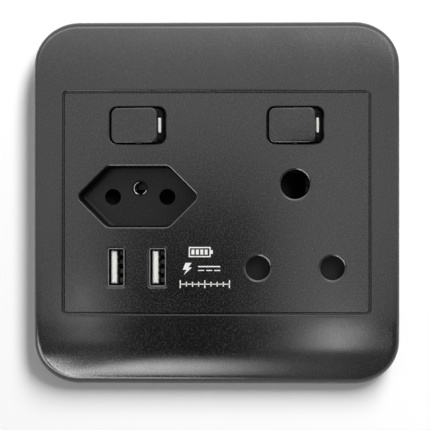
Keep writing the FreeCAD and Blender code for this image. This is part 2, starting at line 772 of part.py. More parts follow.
def rear_housing():
    tub = prism(rectangle(housing_x, housing_z), ledge_y, HOUSING_DEPTH, HOUSING_CORNER_R)
    tub = tub.makeChamfer(HOUSING_WALL * 0.6, edges_in_plane(tub, HOUSING_DEPTH))
    ledge = prism(rectangle(ledge_x, ledge_z), ledge_y, yoke_front_y, HOUSING_CORNER_R / 2)
    hollow = prism(
        rectangle(housing_x - HOUSING_WALL, housing_z - HOUSING_WALL),
        ledge_y,
        back_wall_y,
        HOUSING_CORNER_R - HOUSING_WALL,
    )
    shell = fuse(tub, ledge).cut(hollow)
    inside = []
    removed = [hex_prism(HEX_WALL + YOKE_FIT, ledge_y, floor_back_y + YOKE_FIT)]
    for side in (-1, 1):
        for up in (-1, 1):
            x, z = side * BOSS_X, up * BOSS_Z
            inside.append(post(BOSS_R, x, z, ledge_y, back_wall_y))
            inside.append(post(BOSS_FOOT_R, x, z, head_seat_y() - BOSS_FOOT_H, back_wall_y))
            removed.append(pilot(SCREW_R + 4 * SCREW_FIT, x, z, ledge_y, HOUSING_DEPTH))
            removed.append(pilot(SCREW_HEAD_R + HEAD_FIT, x, z, head_seat_y(), HOUSING_DEPTH))
    for z, _ in terminals().values():
        low = z - ENTRY_BELOW
        high = z + ENTRY_ABOVE
        removed.append(block(-ENTRY_HALF, ENTRY_HALF, back_wall_y, HOUSING_DEPTH, low, high))
    for x, z, y in pads():
        inside.append(post(PAD_R, x, z, y + BAR_THICK, back_wall_y))
    for z in barriers():
        front = back_layer_y + 2 * BAR_THICK
        inside.append(block(-BARRIER_HALF, BARRIER_HALF, front, back_wall_y, z, z + BARRIER_WALL))
    inside += shutter_keepers()
    shell = fuse(shell, *inside)
    shell = shell.common(prism(rectangle(ledge_x, ledge_z), shutter_y, HOUSING_DEPTH))
    return fuse(shell, *snap_lugs()).cut(removed)


def head_seat_y():
    return HOUSING_DEPTH - SCREW_HEAD_H - HEAD_FIT


def pads():
    """Posts that carry the bars: x, z and the bar layer's front face."""
    return [
        (-COLUMN_X + BUTTON_OUT, SWITCH_Z, back_layer_y),
        (COLUMN_X - BUTTON_OUT, SWITCH_Z, back_layer_y),
        (-COLUMN_X, EARTH_BAR_Z, back_layer_y),
        (COLUMN_X, EARTH_BAR_Z, back_layer_y),
        (small_live_x, SWITCH_Z - STRIP_PAD_DROP, front_layer_y),
        (round_strip_x() + BAR_WIDTH / 2, LARGE_EARTH_Z, front_layer_y),
        (small_neutral_x, neutral_run_z() + BAR_WIDTH / 2, front_layer_y),
        (large_neutral_x - LARGE_TUBE_R, large_pin_z, front_layer_y),
    ]


def barriers():
    return [
        EARTH_TERMINAL_Z + TERMINAL_HALF + BARRIER_GAP,
        NEUTRAL_TERMINAL_Z + TERMINAL_HALF + 2 * BARRIER_GAP,
    ]


def shutter_keepers():
    """Posts that hold each shutter against its guides from behind."""
    keeper_y = shutter_y + SHUTTER_THICK + SHUTTER_GAP
    hex_keeper_y = hex_shutter_y + HEX_BAR_THICK + SHUTTER_GAP
    hex_low = neutral_run_z() + BAR_WIDTH + SHUTTER_GAP
    hex_high = hex_bar_low() + HEX_BAR_H
    half = KEEPER_HALF
    low = CROSSBAR_LOW + SHUTTER_GAP
    high = CROSSBAR_HIGH - SHUTTER_GAP
    return [
        block(COLUMN_X - half, COLUMN_X + half, keeper_y, back_wall_y, low, high),
        block(-COLUMN_X - half, -COLUMN_X + half, hex_keeper_y, back_wall_y, hex_low, hex_high),
    ]


def snap_lugs():
    """Wedges round the tub that trap the yoke against the ledge."""
    lug_y = YOKE_FIT / 3
    lugs = []
    for side in (-1, 1):
        for up in (-1, 1):
            points = [
                (lug_y, up * (housing_z - HOUSING_WALL / 2)),
                (lug_y, up * (housing_z + SNAP_PROUD)),
                (lug_y + 4 * SNAP_PROUD, up * housing_z),
                (lug_y + 4 * SNAP_PROUD, up * (housing_z - HOUSING_WALL / 2)),
            ]
            x = side * SNAP_X
            lugs.append(crosswise(points, x - SNAP_LENGTH / 2, x + SNAP_LENGTH / 2))
            points = [
                (side * (housing_x - HOUSING_WALL / 2), lug_y),
                (side * (housing_x + SNAP_PROUD), lug_y),
                (side * housing_x, lug_y + 4 * SNAP_PROUD),
                (side * (housing_x - HOUSING_WALL / 2), lug_y + 4 * SNAP_PROUD),
            ]
            z = up * SNAP_Z
            lugs.append(standing(points, z - SNAP_LENGTH / 2, z + SNAP_LENGTH / 2))
    return lugs


# Rockers, modelled level about the axis and then tilted to their rest
def place_rocker_part(shape, side):
    shape.rotate(V(0, 0, 0), V(0, 0, 1), -REST_TILT)
    shape.translate(V(side * COLUMN_X, pivot_y, SWITCH_Z))
    return shape


def rocker_outline(inset):
    top = ROCKER_TOP_HALF - inset
    leg = ROCKER_LEG_HALF - inset
    foot = ROCKER_FOOT_HALF - inset
    return [
        (-top, -ROCKER_RISE + inset),
        (top, -ROCKER_RISE + inset),
        (leg, -ROCKER_LEG),
        (foot, ROCKER_FOOT),
        (-foot, ROCKER_FOOT),
        (-leg, -ROCKER_LEG),
    ]


def end_wall_angle():
    return math.degrees(math.atan2(ROCKER_LEG_HALF - ROCKER_TOP_HALF, ROCKER_RISE - ROCKER_LEG))


def mark_solid(margin):
    """The white inlay on the end wall, or its pocket when widened by a margin."""
    slab = block(
        -MARK_THICK - margin,
        0.0,
        MARK_MARGIN - margin,
        MARK_MARGIN + MARK_LENGTH + margin,
        -MARK_H / 2 - margin,
        MARK_H / 2 + margin,
    )
    slab.rotate(V(0, 0, 0), V(0, 0, 1), -end_wall_angle())
    slab.translate(V(ROCKER_TOP_HALF, -ROCKER_RISE, 0))
    return slab


def rocker_loop(half_x, inset, y):
    """The rocker's rounded outline at depth y."""
    radius = ROCKER_CORNER_R - inset
    loop = []
    for quarter in range(4):
        middle = math.pi / 2 * (quarter + 0.5)
        corner_x = math.copysign(half_x - ROCKER_CORNER_R, math.cos(middle))
        corner_z = math.copysign(rocker_half_z - ROCKER_CORNER_R, math.sin(middle))
        for step in range(CORNER_STEPS + 1):
            angle = math.pi / 2 * (quarter + step / CORNER_STEPS)
            loop.append(V(corner_x + radius * math.cos(angle), y, corner_z + radius * math.sin(angle)))
    return loop


def rocker(side):
    shoulder = ROCKER_RISE - EDGE_SOFT
    lean = (ROCKER_LEG_HALF - ROCKER_TOP_HALF) / (ROCKER_RISE - ROCKER_LEG)
    body = stacked(
        [
            rocker_loop(ROCKER_TOP_HALF, EDGE_SOFT, -ROCKER_RISE),
            rocker_loop(ROCKER_TOP_HALF + lean * EDGE_SOFT, 0.0, -shoulder),
            rocker_loop(ROCKER_LEG_HALF, 0.0, -ROCKER_LEG),
            rocker_loop(ROCKER_FOOT_HALF, 0.0, ROCKER_FOOT),
        ]
    )
    inner_z = rocker_half_z - ROCKER_WALL
    hollow = standing(rocker_outline(ROCKER_WALL), -inner_z, inner_z)
    barrel_root = -ROCKER_RISE + ROCKER_WALL
    barrel = turned(0, 0, (barrel_root - EDGE_SOFT, BARREL_R), (BARREL_REACH, BARREL_R))
    stubs = [
        spindle(STUB_R, 0, 0, inner_z, stub_reach),
        spindle(STUB_R, 0, 0, -stub_reach, -inner_z),
    ]
    bore_r = (PLUNGER_R + PLUNGER_FIT) / math.cos(math.pi / 12)
    bore = turned(0, 0, (-PLUNGER_TAIL, bore_r), (BARREL_REACH, bore_r))
    body = fuse(body.cut(hollow), barrel, *stubs).cut([bore, mark_solid(0.01)])
    return place_rocker_part(body, side)


def rocker_mark(side):
    return place_rocker_part(mark_solid(0.0), side)


def plunger(side):
    shoulder = PLUNGER_REACH - 2 * TIP_R - PLUNGER_R
    ball = PLUNGER_REACH - TIP_R
    rings = [(PLUNGER_TAIL, PLUNGER_R), (shoulder, PLUNGER_R), (ball - TIP_R / 2, TIP_R)]
    for step in range(TIP_STEPS):
        turn = math.pi / 2 * step / TIP_STEPS
        rings.append((ball + TIP_R * math.sin(turn), TIP_R * math.cos(turn)))
    rings.append((PLUNGER_REACH, TIP_R / 10))
    body = turned(0, 0, *rings)
    return place_rocker_part(body, side)


def plunger_spring(side):
    length = 2 * PLUNGER_TAIL
    spring = coil(PLUNGER_R - 2 * SPRING_WIRE, SPRING_WIRE, length, PLUNGER_TURNS)
    spring.rotate(V(0, 0, 0), V(1, 0, 0), -90)
    spring.translate(V(0, -PLUNGER_TAIL, 0))
    return place_rocker_part(spring, side)


# Rocking bridge, modelled level about the fulcrum pin and then tilted to its rest
def bridge_back():
    """Distance from the pin's axis to the back of the vee's middle."""
    return FULCRUM_R + FULCRUM_FIT


def place_bridge_part(shape, side):
    shape.rotate(V(0, 0, 0), V(0, 0, 1), BRIDGE_SLOPE)
    shape.translate(V(side * COLUMN_X, fulcrum_y, SWITCH_Z))
    return shape


def moving_contact(side):
    slope = math.radians(BRIDGE_SLOPE)
    back = -bridge_back()
    front = back - BRIDGE_THICK
    long_x = BRIDGE_LONG * math.cos(slope)
    long_y = BRIDGE_LONG * math.sin(slope)
    short_x = BRIDGE_SHORT * math.cos(slope)
    short_y = BRIDGE_SHORT * math.sin(slope)
    outline = [
        (0.0, back),
        (long_x, back - long_y),
        (long_x, front - long_y),
        (0.0, front),
        (-short_x, front - short_y),
        (-short_x, back - short_y),
    ]
    half = BRIDGE_WIDTH / 2
    vee = standing(outline, -half, half)
    ear_slope = EAR_HALF * math.tan(slope)
    tab = [
        (0.0, back),
        (EAR_HALF, back - ear_slope),
        (EAR_HALF, front - ear_slope),
        (0.0, front),
        (-EAR_HALF, front - ear_slope),
        (-EAR_HALF, back - ear_slope),
    ]
    ears = []
    for up in (-1, 1):
        low, high = sorted((up * (half + EAR_GAP - EAR_WALL), up * (half + EAR_GAP + EAR_WALL)))
        ears.append(standing(tab, low, high))
        low, high = sorted((up * (half + EAR_GAP), up * (half + EAR_GAP + EAR_WALL)))
        ears.append(block(-EAR_HALF, EAR_HALF, front, EAR_HALF - STUB_FIT, low, high))
    whole = fuse(vee, *ears)
    reach = half + EAR_GAP + 2 * EAR_WALL
    whole = whole.cut(eye(FULCRUM_R + FULCRUM_FIT, 0, 0, -reach, reach))
    return place_bridge_part(whole, side)


def moving_button(side):
    slope = math.radians(BRIDGE_SLOPE)
    foot = -bridge_back()
    top = foot + BUTTON_H
    soft = BUTTON_H / 4
    rings = [(foot, BUTTON_R), (top - soft, BUTTON_R), (top, BUTTON_R - soft)]
    button = turned(BUTTON_OUT, 0, *rings, sides=HEAD_SIDES)
    button.rotate(V(0, -bridge_back(), 0), V(0, 0, 1), -math.degrees(slope))
    return place_bridge_part(button, side)


def fixed_face_y():
    """Front face of the fixed contact button, just behind the moving one when closed."""
    slope = math.radians(BRIDGE_SLOPE)
    return fulcrum_y - bridge_back() * math.cos(slope) + BUTTON_H + CONTACT_GAP


def button_x(side):
    slope = math.radians(BRIDGE_SLOPE)
    return side * COLUMN_X + BUTTON_OUT + bridge_back() * math.sin(slope)


def fixed_button(side):
    top = fixed_face_y()
    soft = BUTTON_H / 4
    rings = [(top, BUTTON_R - soft), (top + soft, BUTTON_R), (top + BUTTON_H, BUTTON_R)]
    return turned(button_x(side), SWITCH_Z, *rings, sides=HEAD_SIDES)


# Current bars
def strip(x0, x1, z0, z1, layer_y):
    return block(x0, x1, layer_y, layer_y + BAR_THICK, z0, z1)


def fixed_contact_arm(side, strip_x):
    """A ledge under the fixed button and a leg that steps back to the strip at strip_x."""
    ledge = fixed_face_y() + BUTTON_H
    low = SWITCH_Z - BAR_WIDTH / 2
    high = SWITCH_Z + BAR_WIDTH / 2
    left = button_x(side) - BUTTON_R - EDGE_SOFT
    return [
        block(left, strip_x + BAR_THICK, ledge, ledge + BAR_THICK, low, high),
        block(strip_x, strip_x + BAR_THICK, ledge, front_layer_y + BAR_THICK, low, high),
    ]


def live_bar():
    low = SWITCH_Z - BAR_WIDTH / 2
    high = SWITCH_Z + BAR_WIDTH / 2
    pieces = [strip(-BAR_END, BAR_END, low, high, back_layer_y)]
    post_half = BRIDGE_WIDTH / 2 - EAR_GAP
    reach = BRIDGE_WIDTH / 2 + EAR_GAP + EAR_WALL + EAR_GAP
    post_low = SWITCH_Z - post_half
    post_high = SWITCH_Z + post_half
    for side in (-1, 1):
        x = side * COLUMN_X
        pieces.append(block(x - FULCRUM_R, x + FULCRUM_R, fulcrum_y, back_layer_y, post_low, post_high))
        pieces.append(spindle(FULCRUM_R, x, fulcrum_y, SWITCH_Z - reach, SWITCH_Z + reach))
    return fuse(*pieces)


def small_tube(x, z, mouth_y, end_y):
    slot_end = mouth_y + (end_y - mouth_y) * SLOT_SHARE
    return split_tube(SMALL_TUBE_R, SMALL_TUBE_WALL, x, z, mouth_y, end_y, slot_end)


def small_mouth_y():
    return hex_shutter_y + RAMP_RUN + SHUTTER_GAP + SLEEVE_LEAD


def hex_live_contact():
    x = small_live_x
    half = BAR_WIDTH / 2
    foot_z = HEX_CENTRE_Z - SMALL_TUBE_R - SMALL_TUBE_WALL
    leg_x = x - half + BAR_THICK
    pieces = fixed_contact_arm(-1, leg_x)
    pieces.append(strip(x - half, x + half, foot_z - BAR_WIDTH * 0.75, SWITCH_Z + half, front_layer_y))
    pieces.append(strip(x, FEED_X + FEED_PAD, foot_z - BAR_WIDTH * 0.75, foot_z, front_layer_y))
    pieces.append(small_tube(x, HEX_CENTRE_Z, small_mouth_y(), front_layer_y))
    return fuse(*pieces)


def round_strip_x():
    return COLUMN_X + LARGE_TUBE_R + STRIP_OUT


def large_tube(x, outward):
    """A pin sleeve for the large socket with the stalk that carries it, on the side given by outward."""
    mouth = shutter_y + SHUTTER_THICK + SHUTTER_GAP * 3
    end = mouth + LARGE_TUBE_R * SLEEVE_REACH
    outer = LARGE_TUBE_R + LARGE_TUBE_WALL
    slot_end = mouth + (end - mouth) * SLOT_SHARE
    tube = split_tube(LARGE_TUBE_R, LARGE_TUBE_WALL, x, large_pin_z, mouth, end, slot_end)
    low, high = sorted((x + outward * LARGE_TUBE_R, x + outward * outer))
    half = BAR_WIDTH / 2
    root = end - LARGE_TUBE_R
    stalk = block(low, high, root, front_layer_y + BAR_THICK, large_pin_z - half, large_pin_z + half)
    web_low, web_high = sorted((x + outward * (LARGE_TUBE_R * 0.85), x + outward * outer))
    web = block(web_low, web_high, root, end, large_pin_z - half, large_pin_z + half)
    web = web.cut(rod(LARGE_TUBE_R, x, large_pin_z, root, end))
    return [tube, stalk, web]


def round_live_contact():
    half = BAR_WIDTH / 2
    x = round_strip_x()
    outer = large_live_x + LARGE_TUBE_R + LARGE_TUBE_WALL
    pieces = fixed_contact_arm(1, x)
    pieces.append(strip(x, x + BAR_WIDTH * 0.9, large_pin_z - half, SWITCH_Z + half, front_layer_y))
    pieces.append(strip(x, outer, large_pin_z - half, large_pin_z + half, front_layer_y))
    pieces += large_tube(large_live_x, 1)
    return fuse(*pieces)


def neutral_run_z():
    """Lower edge of the neutral strip that runs under the small socket's pins."""
    return HEX_CENTRE_Z - RAMP_LOW - 2 * BAR_WIDTH


def neutral_bar():
    half = BAR_WIDTH / 2
    inner = large_neutral_x - LARGE_TUBE_R
    riser = -TERMINAL_HALF - RISER_OUT
    run_z = neutral_run_z()
    run_high = run_z + BAR_WIDTH * 0.75
    left = small_neutral_x - half
    pieces = [
        strip(riser, inner, large_pin_z - half, large_pin_z + half, front_layer_y),
        strip(riser, riser + BAR_WIDTH, large_pin_z - half, run_high, front_layer_y),
        strip(left, riser + BAR_WIDTH, run_z, run_high, front_layer_y),
        strip(left, left + BAR_WIDTH, run_z, HEX_CENTRE_Z + half, front_layer_y),
        small_tube(small_neutral_x, HEX_CENTRE_Z, small_mouth_y(), front_layer_y),
    ]
    pieces += large_tube(large_neutral_x, -1)
    return fuse(*pieces)


def earth_bar():
    half = BAR_WIDTH / 2
    outer = EARTH_TUBE_R + LARGE_TUBE_WALL
    mouth = WEDGE_RIGHT - WEDGE_LEFT + shutter_y + EARTH_LEAD
    slot_end = mouth + EARTH_SLOT
    tube = split_tube(EARTH_TUBE_R, LARGE_TUBE_WALL, COLUMN_X, LARGE_EARTH_Z, mouth, back_layer_y, slot_end)
    left = -COLUMN_X - SMALL_TUBE_R
    return fuse(
        strip(left, COLUMN_X + outer, EARTH_BAR_Z - half, EARTH_BAR_Z + half, back_layer_y),
        tube,
        small_tube(-COLUMN_X, small_earth_z, floor_back_y + HEX_SOFT, back_layer_y),
    )


# Terminals
def terminal_block(z, layer_y):
    half = TERMINAL_HALF
    body = block(-half, half, layer_y + BAR_THICK, back_wall_y, z - half, z + half)
    body = body.makeChamfer(EDGE_SOFT, [e for e in body.Edges if e.BoundBox.ZLength > half])
    wire_way = eye(WIRE_R, 0.0, wire_y, z - half, z + half)
    thread = pilot(TERMINAL_SCREW_R + SCREW_FIT, 0.0, z, wire_y, back_wall_y)
    return body.cut([wire_way, thread])


def terminal_screw(z):
    tip = wire_y + WIRE_R / 2
    return screw(0.0, z, TERMINAL_SCREW_R, SCREW_HEAD_R, SCREW_HEAD_H, back_wall_y, tip, False)


# Shutters and their springs
def round_shutter():
    """One slide: a flag behind each lower hole, a crossbar, a stem and the wedge that the earth pin moves."""
    y0 = shutter_y
    y1 = shutter_y + SHUTTER_THICK
    low = large_pin_z - FLAG_HALF
    left = large_neutral_x - FLAG_HALF
    right = large_live_x + FLAG_HALF
    wedge_low = LARGE_EARTH_Z - WEDGE_HALF
    land = WEDGE_LEFT + WEDGE_LAND
    deep = y0 + WEDGE_RIGHT - land
    wedge = [(WEDGE_LEFT, y0), (land, y0), (WEDGE_RIGHT, deep), (WEDGE_LEFT, deep)]
    return fuse(
        block(left, left + 2 * FLAG_HALF, y0, y1, low, CROSSBAR_HIGH),
        block(right - 2 * FLAG_HALF, right, y0, y1, low, CROSSBAR_HIGH),
        block(left, right, y0, y1, CROSSBAR_LOW, CROSSBAR_HIGH),
        block(STEM_LEFT, STEM_RIGHT, y0, y1, CROSSBAR_LOW, wedge_low + 1),
        standing(wedge, wedge_low, wedge_low + 2 * WEDGE_HALF),
    )


def round_shutter_spring():
    spring = coil(SPRING_R, SPRING_WIRE, ROUND_SPRING, ROUND_TURNS)
    spring.rotate(V(0, 0, 0), V(0, 1, 0), 90)
    bar_z = (CROSSBAR_LOW + CROSSBAR_HIGH) / 2
    left = large_neutral_x - FLAG_HALF - ROUND_SPRING
    spring.translate(V(left, shutter_y + SHUTTER_THICK / 2, bar_z))
    return spring


def hex_shutter():
    """One slide: a ramp behind each live hole and the bar that joins them."""
    y0 = hex_shutter_y
    y1 = y0 + RAMP_RUN
    foot = HEX_CENTRE_Z - RAMP_LOW
    slope_low = HEX_CENTRE_Z - SMALL_HOLE_R - 0.1
    ramp = [(y0, foot), (y0, slope_low), (y1, slope_low + RAMP_RUN), (y1, foot)]
    reach = SMALL_PIN_SPREAD / 2
    pieces = []
    for side in (-1, 1):
        x = -COLUMN_X + side * reach
        pieces.append(crosswise(ramp, x - RAMP_HALF, x + RAMP_HALF))
    left = -COLUMN_X - reach - RAMP_HALF
    right = -COLUMN_X + reach + RAMP_HALF
    pieces.append(block(left, right, y0, y0 + HEX_BAR_THICK, hex_bar_low(), foot + 0.01))
    return fuse(*pieces)


def hex_shutter_spring():
    spring = coil(SPRING_R - SPRING_WIRE, SPRING_WIRE, HEX_SPRING, HEX_TURNS)
    spring.translate(V(-COLUMN_X, hex_shutter_y + HEX_BAR_THICK / 2, hex_bar_low() - HEX_SPRING))
    return spring


# USB ports and their board
def usb_shell(x):
    half_x = USB_SHELL_W / 2
    half_z = USB_SHELL_H / 2
    y0 = front_y + USB_SINK
    outer = prism(rectangle(half_x, half_z, x, USB_Z), y0, BOARD_Y, USB_SHELL_R)
    wall = USB_SHELL_WALL
    inner = prism(rectangle(half_x - wall, half_z - wall, x, USB_Z), y0, BOARD_Y, USB_SHELL_R - wall)
    return outer.cut(inner)


def leaf_rows():
    return [USB_Z + offset for offset in (-LEAF_OUTER, -LEAF_INNER, LEAF_INNER, LEAF_OUTER)]


def usb_tongue(x):
    """White insulator: a block at the back of the shell and the tongue that carries the leaves."""
    half_x = USB_SHELL_W / 2 - USB_SHELL_WALL - SCREW_FIT
    half_z = USB_SHELL_H / 2 - USB_SHELL_WALL - SCREW_FIT
    root_y = BOARD_Y - USB_BASE
    base = prism(rectangle(half_x, half_z, x, USB_Z), root_y, BOARD_Y, USB_SHELL_R - USB_SHELL_WALL)
    tongue_y = front_y + TONGUE_SINK
    half_h = USB_SHELL_H / 2 - USB_SHELL_WALL - TONGUE_END_GAP
    low = USB_Z - half_h
    high = USB_Z + half_h
    tongue = block(x - TONGUE_BACK, x + TONGUE_FACE, tongue_y, root_y, low, high)
    tongue = tongue.makeChamfer(EDGE_SOFT, edges_in_plane(tongue, tongue_y))
    slots = []
    for z in leaf_rows():
        half = LEAF_W / 2 + SCREW_FIT
        face = x + TONGUE_FACE
        slots.append(block(face, face + LEAF_THICK + SCREW_FIT, root_y, BOARD_Y, z - half, z + half))
    return fuse(base, tongue).cut(slots)


def usb_contacts(x):
    """Four sprung leaves on the tongue's face."""
    near = x + TONGUE_FACE
    far = near + LEAF_THICK
    tip = front_y + TONGUE_SINK + LEAF_LEAD
    crest = tip + LEAF_RISE
    root = crest + LEAF_FALL
    outline = [
        (near, tip),
        (far, tip),
        (far + LEAF_BOW, crest),
        (far, root),
        (far, BOARD_Y),
        (near, BOARD_Y),
        (near, root),
        (near + LEAF_BOW, crest),
    ]
    leaves = [standing(outline, z - LEAF_W / 2, z + LEAF_W / 2) for z in leaf_rows()]
    return Part.makeCompound(leaves)


def usb_board():
    board = block(BOARD_LEFT, BOARD_RIGHT, BOARD_Y, board_back_y, BOARD_LOW, BOARD_HIGH)
    tab = block(BOARD_TAB_X, BOARD_RIGHT, BOARD_Y, board_back_y, BOARD_HIGH, BOARD_TAB_Z)
    removed = [pilot(BOSS_R + HEAD_FIT, -BOSS_X, -BOSS_Z, BOARD_Y, board_back_y)]
    for x, z in board_posts():
        removed.append(pilot(SCREW_R / 2 + 4 * SCREW_FIT, x, z, BOARD_Y, board_back_y))
    half = FEED_HALF + SCREW_FIT
    for z in feed_rows():
        removed.append(block(FEED_X - half, FEED_X + half, BOARD_Y, board_back_y, z - half, z + half))
    return fuse(board, tab).cut(removed)


def feed_rows():
    foot_z = HEX_CENTRE_Z - SMALL_TUBE_R - SMALL_TUBE_WALL
    return [foot_z - BAR_WIDTH * 0.375, neutral_run_z() + BAR_WIDTH * 0.375]


def usb_feed_pins():
    """Live and neutral pins from the strips to the board."""
    left = FEED_X - FEED_HALF
    right = FEED_X + FEED_HALF
    pins = [block(left, right, BOARD_Y, front_layer_y, z - FEED_HALF, z + FEED_HALF) for z in feed_rows()]
    return Part.makeCompound(pins)


def usb_transformer():
    """A cored winding on the back of the board."""
    left = USB_LEFT_X + 1.0
    right = left + WINDING_W
    low = BOARD_LOW + WINDING_RISE
    high = low + WINDING_H
    seat = board_back_y
    back = seat + WINDING_DEPTH
    core = block(left, right, seat + BOBBIN_WALL, back, low, high)
    for z in (low + CORE_WALL, high - 2 * CORE_WALL):
        core = core.cut(block(left, right, seat + CORE_FOOT, back - CORE_WALL, z, z + CORE_WALL))
    rim = BOBBIN_WALL / 2
    bobbin = block(left - 1, right + 1, seat, seat + BOBBIN_WALL, low - rim, high + rim)
    inner_left, inner_right = left + CORE_WALL, right - CORE_WALL
    inner_low, inner_high = low + CORE_WALL / 2, high - CORE_WALL / 2
    winding_front = seat + CORE_FOOT - rim
    winding_back = back - CORE_WALL + rim
    winding = block(inner_left, inner_right, winding_front, winding_back, inner_low, inner_high)
    winding = winding.makeChamfer(CORE_WALL / 2, winding.Edges)
    return fuse(core, bobbin, winding)


def usb_capacitor():
    x, z = BOARD_RIGHT - CAN_INSET, BOARD_HIGH - CAN_DROP
    back = board_back_y + CAN_H
    rings = [(board_back_y, CAN_R), (back - EDGE_SOFT, CAN_R), (back, CAN_R - EDGE_SOFT)]
    return turned(x, z, *rings, sides=HEAD_SIDES)


def usb_chip():
    x, z = USB_RIGHT_X + CHIP_OFFSET, BOARD_HIGH - CHIP_DROP
    under = board_back_y + CHIP_LIFT
    body = block(x, x + CHIP_W, under, under + CHIP_THICK, z, z + CHIP_H)
    legs = []
    for i in range(CHIP_LEGS):
        low = z + LEG_W + i * LEG_PITCH
        left = x - LEG_REACH
        right = x + CHIP_W + LEG_REACH
        legs.append(block(left, right, board_back_y, board_back_y + LEG_W, low, low + LEG_W))
    return fuse(body, *legs)


def board_screws():
    radius = SCREW_R / 2
    head = SCREW_HEAD_R * 0.7
    tip = BOARD_Y - BOARD_SCREW_REACH
    screws = []
    for x, z in board_posts():
        screws.append(screw(x, z, radius, head, BOARD_SCREW_HEAD_H, board_back_y, tip, True))
    return Part.makeCompound(screws)


def housing_screws():
    tip = panel_back_y + SCREW_SHORT
    seat = head_seat_y()
    screws = []
    for side in (-1, 1):
        for up in (-1, 1):
            screws.append(
                screw(side * BOSS_X, up * BOSS_Z, SCREW_R, SCREW_HEAD_R, SCREW_HEAD_H, seat, tip, True)
            )
    return Part.makeCompound(screws)


# Every node and its shape
def nodes():
    made = {
        "cover_frame": cover_frame(),
        "socket_face": socket_face(),
        "hex_insert": hex_insert(),
        "mounting_yoke": mounting_yoke(),
        "rear_housing": rear_housing(),
        "live_bar": live_bar(),
        "round_live_contact": round_live_contact(),
        "hex_live_contact": hex_live_contact(),
        "neutral_bar": neutral_bar(),
        "earth_bar": earth_bar(),
        "round_shutter": round_shutter(),
        "round_shutter_spring": round_shutter_spring(),
        "hex_shutter": hex_shutter(),
        "hex_shutter_spring": hex_shutter_spring(),
        "usb_board": usb_board(),
        "usb_feed_pins": usb_feed_pins(),
        "usb_transformer": usb_transformer(),
        "usb_capacitor": usb_capacitor(),
        "usb_chip": usb_chip(),
        "board_screws": board_screws(),
        "housing_screws": housing_screws(),
    }
    for name, side in (("left", -1), ("right", 1)):
        made[name + "_rocker"] = rocker(side)
        made[name + "_rocker_mark"] = rocker_mark(side)
        made[name + "_plunger"] = plunger(side)
        made[name + "_plunger_spring"] = plunger_spring(side)
        made[name + "_moving_contact"] = moving_contact(side)
        made[name + "_moving_button"] = moving_button(side)
        made[name + "_fixed_button"] = fixed_button(side)
    for name, x in (("left", USB_LEFT_X), ("right", USB_RIGHT_X)):
        made["usb_" + name + "_shell"] = usb_shell(x)
        made["usb_" + name + "_tongue"] = usb_tongue(x)
        made["usb_" + name + "_contacts"] = usb_contacts(x)
    for name, (z, layer_y) in terminals().items():
        made[name + "_terminal"] = terminal_block(z, layer_y)
        made[name + "_terminal_screw"] = terminal_screw(z)
    return made


os.makedirs("parts", exist_ok=True)
for node, shape in nodes().items():
    shape.exportStep("parts/" + node + ".step")
    print(node, "solids", len(shape.Solids), "valid", shape.isValid(), "volume", round(shape.Volume, 2))
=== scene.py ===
import bmesh
import bpy
import json
import math
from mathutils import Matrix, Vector

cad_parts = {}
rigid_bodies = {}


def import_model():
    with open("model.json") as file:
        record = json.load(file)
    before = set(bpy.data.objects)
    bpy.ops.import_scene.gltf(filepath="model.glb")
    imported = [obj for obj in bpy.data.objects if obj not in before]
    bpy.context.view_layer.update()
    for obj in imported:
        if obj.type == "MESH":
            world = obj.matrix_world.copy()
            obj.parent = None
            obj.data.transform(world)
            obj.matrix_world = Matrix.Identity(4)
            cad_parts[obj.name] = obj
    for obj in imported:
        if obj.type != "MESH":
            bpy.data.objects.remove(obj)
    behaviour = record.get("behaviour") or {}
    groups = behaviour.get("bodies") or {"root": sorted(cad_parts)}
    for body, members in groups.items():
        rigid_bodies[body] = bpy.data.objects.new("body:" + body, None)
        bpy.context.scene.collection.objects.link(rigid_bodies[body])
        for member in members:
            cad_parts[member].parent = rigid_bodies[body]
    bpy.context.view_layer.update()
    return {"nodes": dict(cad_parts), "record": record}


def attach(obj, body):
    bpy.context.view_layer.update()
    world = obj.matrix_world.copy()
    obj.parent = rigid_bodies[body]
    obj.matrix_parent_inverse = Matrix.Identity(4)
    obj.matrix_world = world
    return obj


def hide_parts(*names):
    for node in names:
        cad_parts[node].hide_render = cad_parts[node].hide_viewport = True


for leftover in list(bpy.data.objects):
    bpy.data.objects.remove(leftover)
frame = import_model()
scene = bpy.context.scene
scene.view_settings.view_transform = "Standard"

# A wall socket with two switches and two USB ports, dressed from its solids and set on a white wall
# Lengths of pieces and of the wall are in millimetres; lights, cards, camera and grain are in metres
MM = 0.001

# Cover
PLATE_HALF = 62.5
PLATE_DEPTH = 12.0
FRONT_Y = -PLATE_DEPTH
PLATE_CORNER_R = 15.0
PLATE_EDGE_R = 2.5
PLATE_FOOT = 0.15  # small bevel where the cover meets the wall
PLATE_WALL = 2.0
ROLL_START = 39.1  # height at which the bands start to roll back towards the wall
ROLL_R = 50.1
WINDOW_X = 52.6
WINDOW_Z = 38.1
WINDOW_R = 1.7
RIM_R = 0.4
LIP_WALL = 1.2
LIP_DEPTH = 6.0
EDGE_STEPS = 10
BAND_STEPS = 22
RIM_STEPS = 5
BACK_STEPS = 7
SIDE_SHARES = (0.35, 0.7)  # rows on the cover's side, as shares of its height

# Snap hooks behind the cover
HOOK_X = 46.0
HOOK_HALF = 3.0
HOOK_NEAR = 42.7  # face of the arm towards the panel
HOOK_WALL = 1.6
HOOK_ROOT_Y = -10.5
HOOK_REACH_Y = 2.4
HOOK_TIP = 0.2
BARB = 0.8
BARB_Y = 0.125

